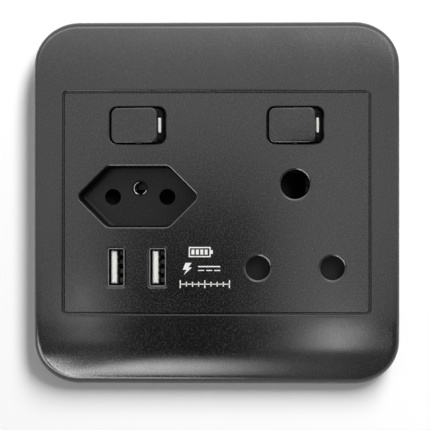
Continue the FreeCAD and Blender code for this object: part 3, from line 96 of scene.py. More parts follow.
# Switches
COLUMN_X = 26.9  # both switches and both sockets stand in two columns
SWITCH_Z = 26.4
PIVOT_Y = -8.0
REST_TILT = 9.0
ROCKER_TOP = 8.4
ROCKER_LEG = 8.95
ROCKER_FOOT = 5.0
ROCKER_HALF_Z = 5.95
ROCKER_CORNER_R = 2.2
ROCKER_LEAST_R = 0.3
ROCKER_EDGE_R = 0.55
ROCKER_EDGE_STEPS = 6
ROCKER_RISE = 5.47  # top face above the axis
ROCKER_CROWN = 0.16
ROCKER_TOP_INSETS = (5.0, 4.0, 3.0, 2.0, 1.2)
ROCKER_CEILING = 0.3  # how much thicker the top is than the walls
ROCKER_BEND = (0.97, -1.12)  # share of the way from top to leg, and depth, where the end wall bends
ROCKER_LEG_Y = -1.0
ROCKER_FOOT_Y = 1.8
ROCKER_WALL = 1.2
ROCKER_HOLLOW = 0.6 * ROCKER_WALL
RAISED_CUT = 0.8  # the raised end of the rocker is cut back, so its wall leans outwards
BARREL_R = 2.6
BARREL_BORE_R = 1.58
BARREL_ROOT_Y = -4.3
BARREL_END_Y = 9.0
BARREL_BEVEL = 0.2
BARREL_SIDES = 32
BORE_ROW_Y = -3.0  # an extra row inside the bore
STUB_R = 1.2
STUB_ROOT = 5.2
STUB_END = 8.45
STUB_BEVEL = (0.25, 0.2)  # along the stub and off its radius
STUB_SIDES = 24
INLAY_HALF = (0.78, 2.55)
INLAY_R = 0.5
INLAY_ALONG = 2.4  # from the top face down the end wall to the strip's middle
INLAY_ROWS = ((-0.25, 0.0), (0.02, 0.0), (0.06, 0.06))  # height over the wall, and inset

# Ledges behind the ends of each switch window
LEDGE_WALL = 0.6
LEDGE_OUT = 10.25
LEDGE_IN = 7.3
LEDGE_FRONT_Y = -9.5
LEDGE_BACK_Y = -5.8
LEDGE_BEVEL = (0.12, 0.1)
LEDGE_HALF_Z = 5.6

# Mouths of the large holes, as x, z and radius, and of the hexagonal well
# The record names the two lower holes the other way round
LARGE_HOLES = {
    "earth_mouth": (26.9, 6.24, 4.9),
    "live_mouth": (14.2, -22.34, 4.05),
    "neutral_mouth": (39.6, -22.34, 4.05),
}
HOLE_SOFT = 0.85
HEX_PLACE = (-26.9, 2.1)
HEX_HALF = 10.5
HEX_TIP_R = 2.0
HEX_BEND_R = 3.0
HEX_BEND_STEPS = 8
HEX_SOFT = 0.5
# Slope in degrees and share of the width of each facet, from the face inwards
MOUTH_SLOPES = ((12, 0.12), (26, 0.16), (31, 0.2), (35, 0.2), (40, 0.16), (52, 0.1), (74, 0.06))
MOUTH_LIFT = 0.02
MOUTH_SINK = 0.03
MOUTH_BRIM = 0.12
MOUTH_BACK = 0.35
MOUTH_PROUD = 0.01  # how far the throat stands inside the solid's own wall

# Dark sheet lining the well: painted shade on its walls and round the edge of its floor
WELL_SHADE_OUT = 0.3
WELL_SHADE_WALL_IN = -0.03
WELL_SHADE_FRONT_Y = FRONT_Y + HEX_SOFT + 0.4
WELL_SHADE_FLOOR_Y = 0.2
WELL_SHADE_FLOOR_IN = -1.0
# The cove at its floor: outline offset, shift to the right and depth of each row; the shift makes the painted
# shade wider on the left
WELL_SHADE_COVE = ((WELL_SHADE_WALL_IN, 0.0, -1.3), (-0.25, 0.1, -0.6), (-0.6, 0.4, -0.2), (WELL_SHADE_FLOOR_IN, 0.8, -0.05))

# Seal in the gap between the cover and the panel
SEAL_EDGES = (0.02, -0.42)
SEAL_DEPTHS = (1.1, 1.6)

# Small earth sleeve
SMALL_EARTH_RISE = 3.0
COLLAR_OUT = 2.78
SLEEVE_R = 2.2
COLLAR_BEVEL = 0.1
COLLAR_FRONT_Y = 1.0
COLLAR_BACK_Y = 1.9
COLLAR_SIDES = 48
SLEEVE_LIP_R = 0.2
SLEEVE_LIP_Y = 0.98
# The lip is built only where light falls on it; in its gaps the dark collar shows as painted shadow
SLEEVE_LIP_LIT_ARCS = ((100, 262), (292, 350))  # degrees
SLEEVE_LIP_END = 0.35  # share of its thickness at the end of an arc
SLEEVE_LIP_TAPER = 4
SLEEVE_LIP_STEPS = 24
SLEEVE_LIP_SIDES = 10

# USB ports
PORTS = (("left", -34.3), ("right", -20.1))  # name and middle of each
PORT_Z = -22.1
INSERT_X = 1.255  # middle of the open side, right of the port's middle
INSERT_HALF = (1.14, 6.22)
INSERT_R = 0.3
INSERT_ROWS = ((0.0, -0.01), (0.0, -0.9), (0.12, -1.02), (0.5, -1.02))  # inset and depth
ROOT_SHIFT = 0.05
ROOT_HALF = (0.82, 0.78)
ROOT_R = 0.3
ROOT_ROWS = ((0.0, -1.0), (0.0, -2.3), (0.06, -2.42), (0.2, -2.48))
ROOT_RISES = (-4.7, -1.6, 1.6, 4.7)

# Print
INK = 0.03
INK_SINK = 0.01


# Meshes
def make_object(name, vertices, faces, place=None):
    """A piece from points in millimetres."""
    mesh = bpy.data.meshes.new(name)
    points = [place(p) if place else p for p in vertices]
    mesh.from_pydata([(x * MM, y * MM, z * MM) for x, y, z in points], [], faces)
    mesh.validate()
    piece = bpy.data.objects.new(name, mesh)
    scene.collection.objects.link(piece)
    return piece


def recalculate(piece):
    """Joins points that meet and turns every face outwards."""
    work = bmesh.new()
    work.from_mesh(piece.data)
    bmesh.ops.remove_doubles(work, verts=work.verts, dist=1e-7)
    bmesh.ops.recalc_face_normals(work, faces=work.faces)
    work.to_mesh(piece.data)
    work.free()
    return piece


def round_loop(x, z, radius, turns=64):
    angles = [2 * math.pi * i / turns for i in range(turns)]
    return [(x + radius * math.cos(angle), z + radius * math.sin(angle)) for angle in angles]


def rounded_loop(half_x, half_z, radius, corner=20, straight=44, x=0.0, z=0.0):
    """Points round a rounded rectangle, always in the same number and order."""
    corners = []
    for quarter in range(4):
        sign_x = 1 if quarter in (0, 3) else -1
        sign_z = 1 if quarter < 2 else -1
        centre = (x + sign_x * (half_x - radius), z + sign_z * (half_z - radius))
        arc = []
        for i in range(corner + 1):
            angle = math.pi / 2 * (quarter + i / corner)
            arc.append((centre[0] + radius * math.cos(angle), centre[1] + radius * math.sin(angle)))
        corners.append(arc)
    loop = []
    for quarter, arc in enumerate(corners):
        loop += arc
        start, end = arc[-1], corners[(quarter + 1) % 4][0]
        for j in range(1, straight):
            t = j / straight
            loop.append((start[0] + (end[0] - start[0]) * t, start[1] + (end[1] - start[1]) * t))
    return loop


def between(a, b, t):
    return [(p[0] + (q[0] - p[0]) * t, p[1] + (q[1] - p[1]) * t) for p, q in zip(a, b)]


def quarter_turn(radius, steps, first=0):
    """Steps of a quarter round: a length that grows from 0 to the radius, and one that shrinks to 0."""
    for i in range(first, steps + 1):
        lean = math.pi / 2 * i / steps
        yield radius * (1 - math.cos(lean)), radius * (1 - math.sin(lean))


class Skin:
    """Points and faces gathered for one piece."""

    def __init__(self):
        self.points = []
        self.faces = []

    def ring(self, loop, depth):
        """A loop of (x, z) points at a depth, which may be a number or a function of x and z."""
        start = len(self.points)
        for x, z in loop:
            self.points.append((x, depth(x, z) if callable(depth) else depth, z))
        return list(range(start, len(self.points)))

    def bridge(self, near, far):
        count = len(near)
        for i in range(count):
            k = (i + 1) % count
            self.faces.append((near[i], near[k], far[k], far[i]))

    def rings(self, rows, closed=False):
        """A wall through rows of (loop, depth); a closed one comes back to its first row."""
        made = [self.ring(loop, depth) for loop, depth in rows]
        for near, far in zip(made, made[1:]):
            self.bridge(near, far)
        if closed:
            self.bridge(made[-1], made[0])
        return made

    def capped(self, rows):
        """Rows of (loop, depth) with a face at each end."""
        made = self.rings(rows)
        self.faces += [tuple(made[0]), tuple(made[-1])]

    def solid(self, loops):
        """A closed form through loops of 3-D points."""
        made = []
        for loop in loops:
            start = len(self.points)
            self.points += loop
            made.append(list(range(start, len(self.points))))
        for near, far in zip(made, made[1:]):
            self.bridge(near, far)
        self.faces += [tuple(made[0]), tuple(made[-1])]

    def piece(self, name, place=None):
        return recalculate(make_object(name, self.points, self.faces, place))

    def fixed_piece(self, name):
        """A piece that stays with the socket's body."""
        piece = self.piece(name)
        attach(piece, "socket_body")
        return piece


# Cover: crowned bands above and below the panel, a rounded rim and the lip round the window
def drop(z, radius=ROLL_R):
    past = abs(z) - ROLL_START
    return radius - math.sqrt(radius**2 - past**2) if past > 0 else 0.0


def plate_loop(inset):
    return rounded_loop(PLATE_HALF - inset, PLATE_HALF - inset, PLATE_CORNER_R - inset)


def window_loop(offset):
    return rounded_loop(WINDOW_X + offset, WINDOW_Z + offset, WINDOW_R + offset)


def cover_rows():
    def side(share):
        return lambda x, z: (FRONT_Y + PLATE_EDGE_R + drop(z)) * share

    def face(rise):
        return lambda x, z: FRONT_Y + drop(z) + rise

    def back(x, z):
        return FRONT_Y + PLATE_WALL + drop(z, ROLL_R - PLATE_WALL)

    rows = [(plate_loop(PLATE_FOOT), 0.0), (plate_loop(0.0), -PLATE_FOOT)]
    rows += [(plate_loop(0.0), side(share)) for share in SIDE_SHARES]
    for inset, rise in quarter_turn(PLATE_EDGE_R, EDGE_STEPS):
        rows.append((plate_loop(inset), face(rise)))
    for i in range(1, BAND_STEPS + 1):
        rows.append((between(plate_loop(PLATE_EDGE_R), window_loop(RIM_R), i / BAND_STEPS), face(0.0)))
    for depth, offset in quarter_turn(RIM_R, RIM_STEPS, 1):
        rows.append((window_loop(offset), FRONT_Y + depth))
    rows += [(window_loop(0.0), FRONT_Y + depth) for depth in (LIP_DEPTH / 2, LIP_DEPTH)]
    rows += [(window_loop(LIP_WALL), FRONT_Y + depth) for depth in (LIP_DEPTH, PLATE_WALL)]
    for i in range(1, BACK_STEPS + 1):
        rows.append((between(window_loop(LIP_WALL), plate_loop(PLATE_WALL), i / BACK_STEPS), back))
    return rows + [(plate_loop(PLATE_WALL), 0.0)]


def hook_profile():
    """A snap hook from the side, as depth and height: a flat arm with a sloped barb."""
    far = HOOK_NEAR + HOOK_WALL
    return [
        (HOOK_ROOT_Y, HOOK_NEAR),
        (HOOK_REACH_Y, HOOK_NEAR),
        (HOOK_REACH_Y, far - HOOK_TIP),
        (BARB_Y + BARB, far + BARB),
        (BARB_Y, far + BARB),
        (BARB_Y, far),
        (HOOK_ROOT_Y, far),
    ]


def cover_piece():
    skin = Skin()
    skin.rings(cover_rows(), closed=True)
    for x in (-HOOK_X, HOOK_X):
        for up in (-1, 1):
            sides = (x - HOOK_HALF, x + HOOK_HALF)
            skin.solid([[(edge, y, up * z) for y, z in hook_profile()] for edge in sides])
    piece = skin.piece("cover_skin")
    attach(piece, "socket_body")
    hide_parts("cover_frame")
    return piece


# Rockers, made level about their axis and then leaned
def rocker_place(side):
    lean = math.radians(-REST_TILT)

    def place(point):
        x, y, z = point
        return (
            side * COLUMN_X + x * math.cos(lean) - y * math.sin(lean),
            PIVOT_Y + x * math.sin(lean) + y * math.cos(lean),
            SWITCH_Z + z,
        )

    return place


def rocker_rows():
    def outline(half_x, inset=0.0):
        shift = -RAISED_CUT / 2 if half_x == ROCKER_TOP else 0.0
        radius = max(ROCKER_CORNER_R - inset, ROCKER_LEAST_R)
        half = (half_x + shift - inset, ROCKER_HALF_Z - inset)
        return rounded_loop(*half, radius, corner=8, straight=6, x=shift)

    def inner(half_x):
        return outline(half_x - ROCKER_HOLLOW, ROCKER_HOLLOW)

    def crown(rise):
        def depth(x, z):
            bow = (x / ROCKER_TOP) ** 2 + 0.5 * (z / ROCKER_HALF_Z) ** 2
            return -ROCKER_RISE + ROCKER_CROWN * bow + rise

        return depth

    bend_share, bend_y = ROCKER_BEND
    rows = [(outline(ROCKER_TOP, inset), crown(0.0)) for inset in ROCKER_TOP_INSETS]
    for rise, inset in quarter_turn(ROCKER_EDGE_R, ROCKER_EDGE_STEPS):
        rows.append((outline(ROCKER_TOP, inset), crown(rise)))
    rows.append((between(outline(ROCKER_TOP), outline(ROCKER_LEG), bend_share), bend_y))
    rows.append((outline(ROCKER_LEG), ROCKER_LEG_Y))
    rows.append((outline(ROCKER_FOOT), ROCKER_FOOT_Y))
    rows.append((inner(ROCKER_FOOT), ROCKER_FOOT_Y))
    rows.append((inner(ROCKER_LEG), ROCKER_LEG_Y))
    rows.append((inner(ROCKER_TOP), -ROCKER_RISE + ROCKER_WALL + ROCKER_CEILING))
    return rows


def rocker_piece(name, side):
    """Shell, spring barrel and stubs of one rocker."""
    skin = Skin()
    skin.capped(rocker_rows())
    barrel = (
        (BARREL_R, BARREL_ROOT_Y),
        (BARREL_R, BARREL_END_Y - BARREL_BEVEL),
        (BARREL_R - BARREL_BEVEL, BARREL_END_Y),
        (BARREL_BORE_R, BARREL_END_Y),
        (BARREL_BORE_R, BORE_ROW_Y),
        (BARREL_BORE_R, BARREL_ROOT_Y),
    )
    skin.rings([(round_loop(0.0, 0.0, radius, BARREL_SIDES), y) for radius, y in barrel], closed=True)
    along, off = STUB_BEVEL
    stub = ((STUB_R, STUB_ROOT), (STUB_R, STUB_END - along), (STUB_R - off, STUB_END))
    rounds = [(round_loop(0.0, 0.0, radius, STUB_SIDES), z) for radius, z in stub]
    for up in (-1, 1):
        skin.solid([[(x, y, up * z) for x, y in loop] for loop, z in rounds])
    piece = skin.piece(name + "_rocker_skin", rocker_place(side))
    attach(piece, name + "_rocker_body")
    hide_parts(name + "_rocker")
    return piece


def inlay_piece(name, side):
    """The white strip let into the raised end wall."""
    skin = Skin()
    angle = math.atan2(ROCKER_LEG - ROCKER_TOP + RAISED_CUT, ROCKER_RISE + ROCKER_LEG_Y)

    def place(point):
        across, along, z = point
        x = ROCKER_TOP - RAISED_CUT + across * math.cos(angle) + along * math.sin(angle)
        y = -ROCKER_RISE - across * math.sin(angle) + along * math.cos(angle)
        return rocker_place(side)((x, y, z))

    loops = []
    for across, inset in INLAY_ROWS:
        half = (INLAY_HALF[0] - inset, INLAY_HALF[1] - inset)
        loop = rounded_loop(*half, INLAY_R, corner=6, straight=2, x=INLAY_ALONG)
        loops.append([(across, along, z) for along, z in loop])
    skin.solid(loops)
    piece = skin.piece(name + "_rocker_inlay", place)
    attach(piece, name + "_rocker_body")
    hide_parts(name + "_rocker_mark")
    return piece


def ledges_piece(name, side):
    """Dust ledges behind both ends of a switch window, clear of the rocker's swing."""
    foot, shelf = LEDGE_OUT - LEDGE_WALL, LEDGE_BACK_Y - LEDGE_WALL
    along, off = LEDGE_BEVEL
    profile = [
        (foot, LEDGE_FRONT_Y),
        (LEDGE_OUT, LEDGE_FRONT_Y),
        (LEDGE_OUT, LEDGE_BACK_Y),
        (LEDGE_IN, LEDGE_BACK_Y),
        (LEDGE_IN, shelf + off),
        (LEDGE_IN + along, shelf),
        (foot, shelf),
    ]
    skin = Skin()
    for end in (-1, 1):
        outline = [(side * COLUMN_X + end * x, y) for x, y in profile]
        ends = (SWITCH_Z - LEDGE_HALF_Z, SWITCH_Z + LEDGE_HALF_Z)
        skin.solid([[(x, y, z) for x, y in outline] for z in ends])
    return skin.fixed_piece(name + "_window_ledges")


# Rounded mouths of the large holes and of the hexagonal well
def hexagon_loop(offset, shift=0.0):
    """The well's outline at a distance outside its wall, with rounded bends, moved right by a shift."""
    height, tip = HEX_HALF + offset, 2 * HEX_HALF + offset * math.sqrt(2)
    flat = tip - height
    corners = [(tip, 0.0), (flat, height), (-flat, height), (-tip, 0.0), (-flat, -height), (flat, -height)]
    loop = []
    for i, corner in enumerate(corners):
        radius = (HEX_TIP_R if i % 3 == 0 else HEX_BEND_R) + offset
        point = Vector(corner)
        back = (Vector(corners[i - 1]) - point).normalized()
        ahead = (Vector(corners[(i + 1) % 6]) - point).normalized()
        half = back.angle(ahead) / 2
        centre = point + (back + ahead).normalized() * radius / math.sin(half)
        start = point + back * radius / math.tan(half) - centre
        sweep = math.pi - 2 * half
        for k in range(HEX_BEND_STEPS + 1):
            turn = sweep * k / HEX_BEND_STEPS
            x = start.x * math.cos(turn) - start.y * math.sin(turn)
            z = start.x * math.sin(turn) + start.y * math.cos(turn)
            loop.append((HEX_PLACE[0] + centre.x + x + shift, HEX_PLACE[1] + centre.y + z))
    return loop


def mouth_piece(name, outline, soft):
    """A ring with a softly sloped front edge; outline gives its loop at an offset from the opening."""
    skin = Skin()
    brim, back_y = outline(soft + MOUTH_BRIM), FRONT_Y + soft + MOUTH_BACK
    offset, depth = soft, FRONT_Y - MOUTH_LIFT
    rows = [(brim, FRONT_Y + MOUTH_SINK), (outline(offset), depth)]
    for slope, share in MOUTH_SLOPES:
        offset -= soft * share
        depth += soft * share * math.tan(math.radians(slope))
        rows.append((outline(offset - MOUTH_PROUD), depth))
    rows += [(outline(-MOUTH_PROUD), back_y), (brim, back_y)]
    skin.rings(rows, closed=True)
    return skin.fixed_piece(name)


def hole_mouth_piece(name, x, z, radius):
    return mouth_piece(name, lambda offset: round_loop(x, z, radius + offset), HOLE_SOFT)


def well_shade_sheet_piece():
    """A thin black sheet inside the well, coved where it meets the floor: painted shade on the walls and
    round the floor, wider on the left.
    """
    skin = Skin()
    rows = [(hexagon_loop(offset), WELL_SHADE_FRONT_Y) for offset in (WELL_SHADE_OUT, WELL_SHADE_WALL_IN)]
    rows += [(hexagon_loop(offset, shift), y) for offset, shift, y in WELL_SHADE_COVE]
    rows += [(hexagon_loop(offset), WELL_SHADE_FLOOR_Y) for offset in (WELL_SHADE_FLOOR_IN, WELL_SHADE_OUT)]
    skin.rings(rows, closed=True)
    return skin.fixed_piece("well_painted_shade")


def gap_seal_piece():
    """Closes the gap between the cover and the panel a little way in."""
    skin = Skin()
    outer, inner = [window_loop(offset) for offset in SEAL_EDGES]
    near, far = [FRONT_Y + depth for depth in SEAL_DEPTHS]
    skin.rings([(outer, near), (inner, near), (inner, far), (outer, far)], closed=True)
    return skin.fixed_piece("panel_gap_seal")


# The small earth sleeve in its hole
# A dark plastic collar round the sleeve: partly a real collar, partly painted shadow that hides the bright
# earth bar in the hole
def earth_collar_shade_piece(x, z):
    skin = Skin()
    rows = (
        (COLLAR_OUT, COLLAR_FRONT_Y),
        (SLEEVE_R + COLLAR_BEVEL, COLLAR_FRONT_Y),
        (SLEEVE_R, COLLAR_FRONT_Y + COLLAR_BEVEL),
        (SLEEVE_R, COLLAR_BACK_Y),
        (COLLAR_OUT, COLLAR_BACK_Y),
    )
    skin.rings([(round_loop(x, z, radius, COLLAR_SIDES), y) for radius, y in rows], closed=True)
    return skin.fixed_piece("small_earth_collar_and_shade")


def earth_lip_piece(x, z):
    """The rolled mouth of the sleeve, in two arcs that thin out at their ends, built only where light falls
    on it; where it is left out the dark collar behind shows as painted shadow.
    """
    skin = Skin()
    for start, end in SLEEVE_LIP_LIT_ARCS:
        loops = []
        for i in range(SLEEVE_LIP_STEPS + 1):
            turn = math.radians(start + (end - start) * i / SLEEVE_LIP_STEPS)
            from_end = min(i, SLEEVE_LIP_STEPS - i) / SLEEVE_LIP_STEPS
            thick = SLEEVE_LIP_R * min(1.0, SLEEVE_LIP_END + SLEEVE_LIP_TAPER * from_end)
            section = round_loop(SLEEVE_R, SLEEVE_LIP_Y, thick, SLEEVE_LIP_SIDES)
            across, up = math.cos(turn), math.sin(turn)
            loops.append([(x + reach * across, y, z + reach * up) for reach, y in section])
        skin.solid(loops)
    return skin.fixed_piece("small_earth_lip")


# What stands in each port's open side
def port_insert_piece(name, x):
    skin = Skin()
    rows = []
    for inset, y in INSERT_ROWS:
        half = (INSERT_HALF[0] - inset, INSERT_HALF[1] - inset)
        rows.append((rounded_loop(*half, INSERT_R, corner=4, straight=4, x=x + INSERT_X, z=PORT_Z), y))
    skin.capped(rows)
    return skin.fixed_piece(name + "_port_insert")


def port_roots_piece(name, x):
    """The pads that the four contact springs stand on."""
    skin = Skin()
    middle = x + INSERT_X + ROOT_SHIFT
    for rise in ROOT_RISES:
        place = {"x": middle, "z": PORT_Z + rise}
        rows = []
        for inset, y in ROOT_ROWS:
            half = (ROOT_HALF[0] - inset, ROOT_HALF[1] - inset)
            rows.append((rounded_loop(*half, ROOT_R - inset, corner=4, straight=2, **place), y))
        skin.capped(rows)
    return skin.fixed_piece(name + "_port_roots")


# White print, as outlines of (x, z) points
def bar(x0, x1, z0, z1):
    return [(x0, z0), (x1, z0), (x1, z1), (x0, z1)]


def battery_outlines(left=-9.4, right=-1.9, low=-18.6, high=-15.1, line=0.42):
    """A battery's frame with its pole, and four charge bars inside."""
    pole, pole_inset = 0.75, 1.1
    charge, charge_pitch, side_gap, end_gap = 1.0, 1.5, 0.95, 0.9
    outlines = [
        bar(left, right, low, low + line),
        bar(left, right, high - line, high),
        bar(left, left + line, low + line, high - line),
        bar(right - line, right, low + line, high - line),
        bar(right, right + pole, low + pole_inset, high - pole_inset),
    ]
    for i in range(4):
        start = left + side_gap + i * charge_pitch
        outlines.append(bar(start, start + charge, low + end_gap, high - end_gap))
    return outlines


def bolt_outlines(x=-10.0, z=-22.55):
    upper = [(-0.5, 2.0), (1.6, 2.0), (0.45, 0.45), (1.75, 0.45)]
    lower = [(-1.1, -2.1), (-0.1, -0.35), (-1.45, -0.35)]
    return [[(x + a, z + b) for a, b in upper + lower]]


def current_outlines(left=-6.2, right=1.35):
    """A line over three dashes, the sign of direct current."""
    line, line_z, dash, dash_z = 0.4, -22.0, 0.35, -23.3
    dash_length, pitch = 2.05, 2.75
    starts = [left + i * pitch for i in range(3)]
    dashes = [bar(start, start + dash_length, dash_z, dash_z + dash) for start in starts]
    return [bar(left, right, line_z, line_z + line)] + dashes


def tick_outlines(left=-12.3, pitch=2.1, z=-27.8, count=9):
    """A plain row of ticks on a line, every fourth one taller."""
    half_width, half_line = 0.2, 0.15
    outlines = []
    for i in range(count):
        x = left + i * pitch
        tall = 1.35 if i % 4 == 0 else 0.8
        outlines.append(bar(x - half_width, x + half_width, z - tall, z + tall))
    end = left + (count - 1) * pitch
    return outlines + [bar(left - half_width, end + half_width, z - half_line, z + half_line)]


def print_piece(name, outlines):
    skin = Skin()
    for outline in outlines:
        skin.solid([[(x, y, z) for x, z in outline] for y in (FRONT_Y + INK_SINK, FRONT_Y - INK)])
    return skin.fixed_piece(name)


# Shading
class Graph:
    """A node material in the making."""

    def __init__(self, name):
        self.material = bpy.data.materials.new(name)
        self.material.use_nodes = True
        self.tree = self.material.node_tree
        self.tree.nodes.clear()
        self.output = self.add("ShaderNodeOutputMaterial")
        self.place = self.add("ShaderNodeTexCoord").outputs["Object"]

    def add(self, kind, **values):
        node = self.tree.nodes.new(kind)
        for key, value in values.items():
            setattr(node, key, value)
        return node

    def put(self, target, value):
        """Links a socket to the target, or sets the target to a plain value."""
        if isinstance(value, bpy.types.NodeSocket):
            self.tree.links.new(value, target)
        elif isinstance(value, tuple) and len(value) == 3 and target.type == "RGBA":
            target.default_value = (*value, 1.0)
        else:
            target.default_value = value

    def noise(self, scale, detail=4.0, rough=0.55, stretch=None):
        source = self.place
        if stretch:
            node = self.add("ShaderNodeMapping")
            self.put(node.inputs["Vector"], source)
            node.inputs["Scale"].default_value = stretch
            source = node.outputs["Vector"]
        node = self.add("ShaderNodeTexNoise")
        self.put(node.inputs["Vector"], source)
        node.inputs["Scale"].default_value = scale
        node.inputs["Detail"].default_value = detail
        node.inputs["Roughness"].default_value = rough
        return node.outputs["Fac"]

    def ramp(self, value, low, high, to_low=0.0, to_high=1.0, kind="LINEAR"):
        node = self.add("ShaderNodeMapRange", interpolation_type=kind)
        self.put(node.inputs["Value"], value)
        node.inputs["From Min"].default_value = low
        node.inputs["From Max"].default_value = high
        node.inputs["To Min"].default_value = to_low
        node.inputs["To Max"].default_value = to_high
        return node.outputs["Result"]

    def math(self, operation, a, b=0.0, clamp=False):
        node = self.add("ShaderNodeMath", operation=operation, use_clamp=clamp)
        self.put(node.inputs[0], a)
        self.put(node.inputs[1], b)
        return node.outputs[0]

    def plus(self, a, b):
        return self.math("ADD", a, b)

    def minus(self, a, b):
        return self.math("SUBTRACT", a, b)

    def times(self, *factors):
        whole = factors[0]
        for factor in factors[1:]:
            whole = self.math("MULTIPLY", whole, factor)
        return whole

    def mix(self, share, a, b):
        node = self.add("ShaderNodeMix", data_type="RGBA")
        self.put(node.inputs["Factor"], share)
        self.put(node.inputs[6], a)
        self.put(node.inputs[7], b)
        return node.outputs[2]

    def bump(self, height, distance):
        node = self.add("ShaderNodeBump")
        self.put(node.inputs["Height"], height)
        node.inputs["Distance"].default_value = distance
        node.inputs["Strength"].default_value = 1.0
        return node.outputs["Normal"]

    def edge(self, radius=0.0004):
        """How far the surface turns within a small radius: 0 on flats, more along edges."""
        bevel = self.add("ShaderNodeBevel", samples=4)
        bevel.inputs["Radius"].default_value = radius
        plain = self.add("ShaderNodeNewGeometry").outputs["Normal"]
        dot = self.add("ShaderNodeVectorMath", operation="DOT_PRODUCT")
        self.put(dot.inputs[0], bevel.outputs["Normal"])
        self.put(dot.inputs[1], plain)
        return self.math("SUBTRACT", 1.0, dot.outputs["Value"], clamp=True)

    def finish(self, shader):
        self.tree.links.new(shader, self.output.inputs["Surface"])
        return self.material

    def principled(self, **inputs):
        node = self.add("ShaderNodeBsdfPrincipled")
        for key, value in inputs.items():
            self.put(node.inputs[key.replace("_", " ")], value)
        return self.finish(node.outputs["BSDF"])

    def emission(self, strength):
        node = self.add("ShaderNodeEmission")
        node.inputs["Color"].default_value = (1, 1, 1, 1)
        self.put(node.inputs["Strength"], strength)
        return node.outputs[0]


def grey(value):
    return (value, value, value)


def scaled(colour, factor):
    return tuple(min(c * factor, 1.0) for c in colour)


PLASTIC_IOR = 1.5
FINE_GRAIN = 0.00001  # height of the grain on metal and pale plastic
# Scales of the noises that shade a piece, from coarse to fine
DRIFT_SCALE = 28.0
TARNISH_SCALE = 60.0
YELLOWING_SCALE = 90.0
SMUDGE_SCALE = 95.0
RUB_SCALE = 420.0
MOULD_SCALE = 1500.0
PALE_SCALE = 1800.0


def moulded(name, dark, light, rough, grain, speck=0.036, shine=0.5):
    """Dark moulded plastic: a spark-eroded grain with paler peaks, faint colour drift and rubbed edges."""
    g = Graph(name)
    fine = g.noise(MOULD_SCALE, 3.0, 0.65)
    finer = g.noise(MOULD_SCALE * 1.9, 2.0, 0.5)
    drift = g.ramp(g.noise(DRIFT_SCALE, 5.0, 0.6), 0.3, 0.7)
    colour = g.mix(drift, grey(dark), grey(light))
    both = g.plus(g.times(fine, 0.65), g.times(finer, 0.35))
    peaks = g.ramp(both, 0.47, 0.68)
    colour = g.mix(peaks, colour, grey(speck))
    edge = g.times(g.ramp(g.edge(), 0.02, 0.22), 0.25)
    rubbed = g.times(edge, g.ramp(g.noise(RUB_SCALE), 0.35, 0.62))
    colour = g.mix(rubbed, colour, scaled(grey(light), 4.0))
    height = g.plus(fine, g.times(finer, 0.6))
    smudge = g.ramp(g.noise(SMUDGE_SCALE), 0.3, 0.7, rough - 0.02, rough + 0.025)
    roughness = g.minus(g.plus(smudge, g.times(peaks, 0.04)), g.times(rubbed, 0.04))
    normal = g.bump(height, grain)
    return g.principled(
        Base_Color=colour, Roughness=roughness, Normal=normal, IOR=PLASTIC_IOR, Specular_IOR_Level=shine
    )


def metal(name, colour, rough, lay=(1.0, 1.0, 1.0), scale=900.0, tarnish=None, spangle=0.0):
    """Rolled or plated metal: a lay of fine scratches, patches of tarnish and brighter edges."""
    g = Graph(name)
    scratches = g.noise(scale, 4.0, 0.7, stretch=lay)
    patches = g.noise(TARNISH_SCALE, 5.0, 0.6)
    edge = g.ramp(g.edge(0.0003), 0.02, 0.3)
    shade = g.mix(g.ramp(patches, 0.35, 0.7), colour, tarnish or scaled(colour, 0.72))
    shade = g.mix(g.times(edge, 0.4), shade, scaled(colour, 1.15))
    roughness = g.ramp(scratches, 0.3, 0.7, rough - 0.06, rough + 0.08)
    roughness = g.plus(roughness, g.times(patches, 0.08))
    if spangle:
        cells = g.add("ShaderNodeTexVoronoi")
        g.put(cells.inputs["Vector"], g.place)
        cells.inputs["Scale"].default_value = spangle
        flake = g.add("ShaderNodeSeparateXYZ")
        g.put(flake.inputs[0], cells.outputs["Color"])
        shade = g.mix(g.times(flake.outputs["X"], 0.6), shade, scaled(colour, 0.62))
        roughness = g.plus(roughness, g.times(flake.outputs["Y"], 0.14))
    normal = g.bump(scratches, FINE_GRAIN)
    return g.principled(Base_Color=shade, Metallic=1.0, Roughness=roughness, Normal=normal)


def pale(name, colour, rough, shine=0.5):
    """Plain moulded plastic or ink, with faint colour drift and darker edges."""
    g = Graph(name)
    fine = g.noise(PALE_SCALE, 3.0, 0.6)
    drift = g.noise(YELLOWING_SCALE)
    shade = g.mix(g.ramp(drift, 0.3, 0.7), colour, scaled(colour, 0.88))
    edge = g.times(g.ramp(g.edge(0.0003), 0.02, 0.3), 0.3)
    shade = g.mix(edge, shade, scaled(colour, 0.7))
    roughness = g.ramp(fine, 0.3, 0.7, rough - 0.05, rough + 0.06)
    normal = g.bump(fine, FINE_GRAIN)
    return g.principled(
        Base_Color=shade, Roughness=roughness, Normal=normal, IOR=PLASTIC_IOR, Specular_IOR_Level=shine
    )


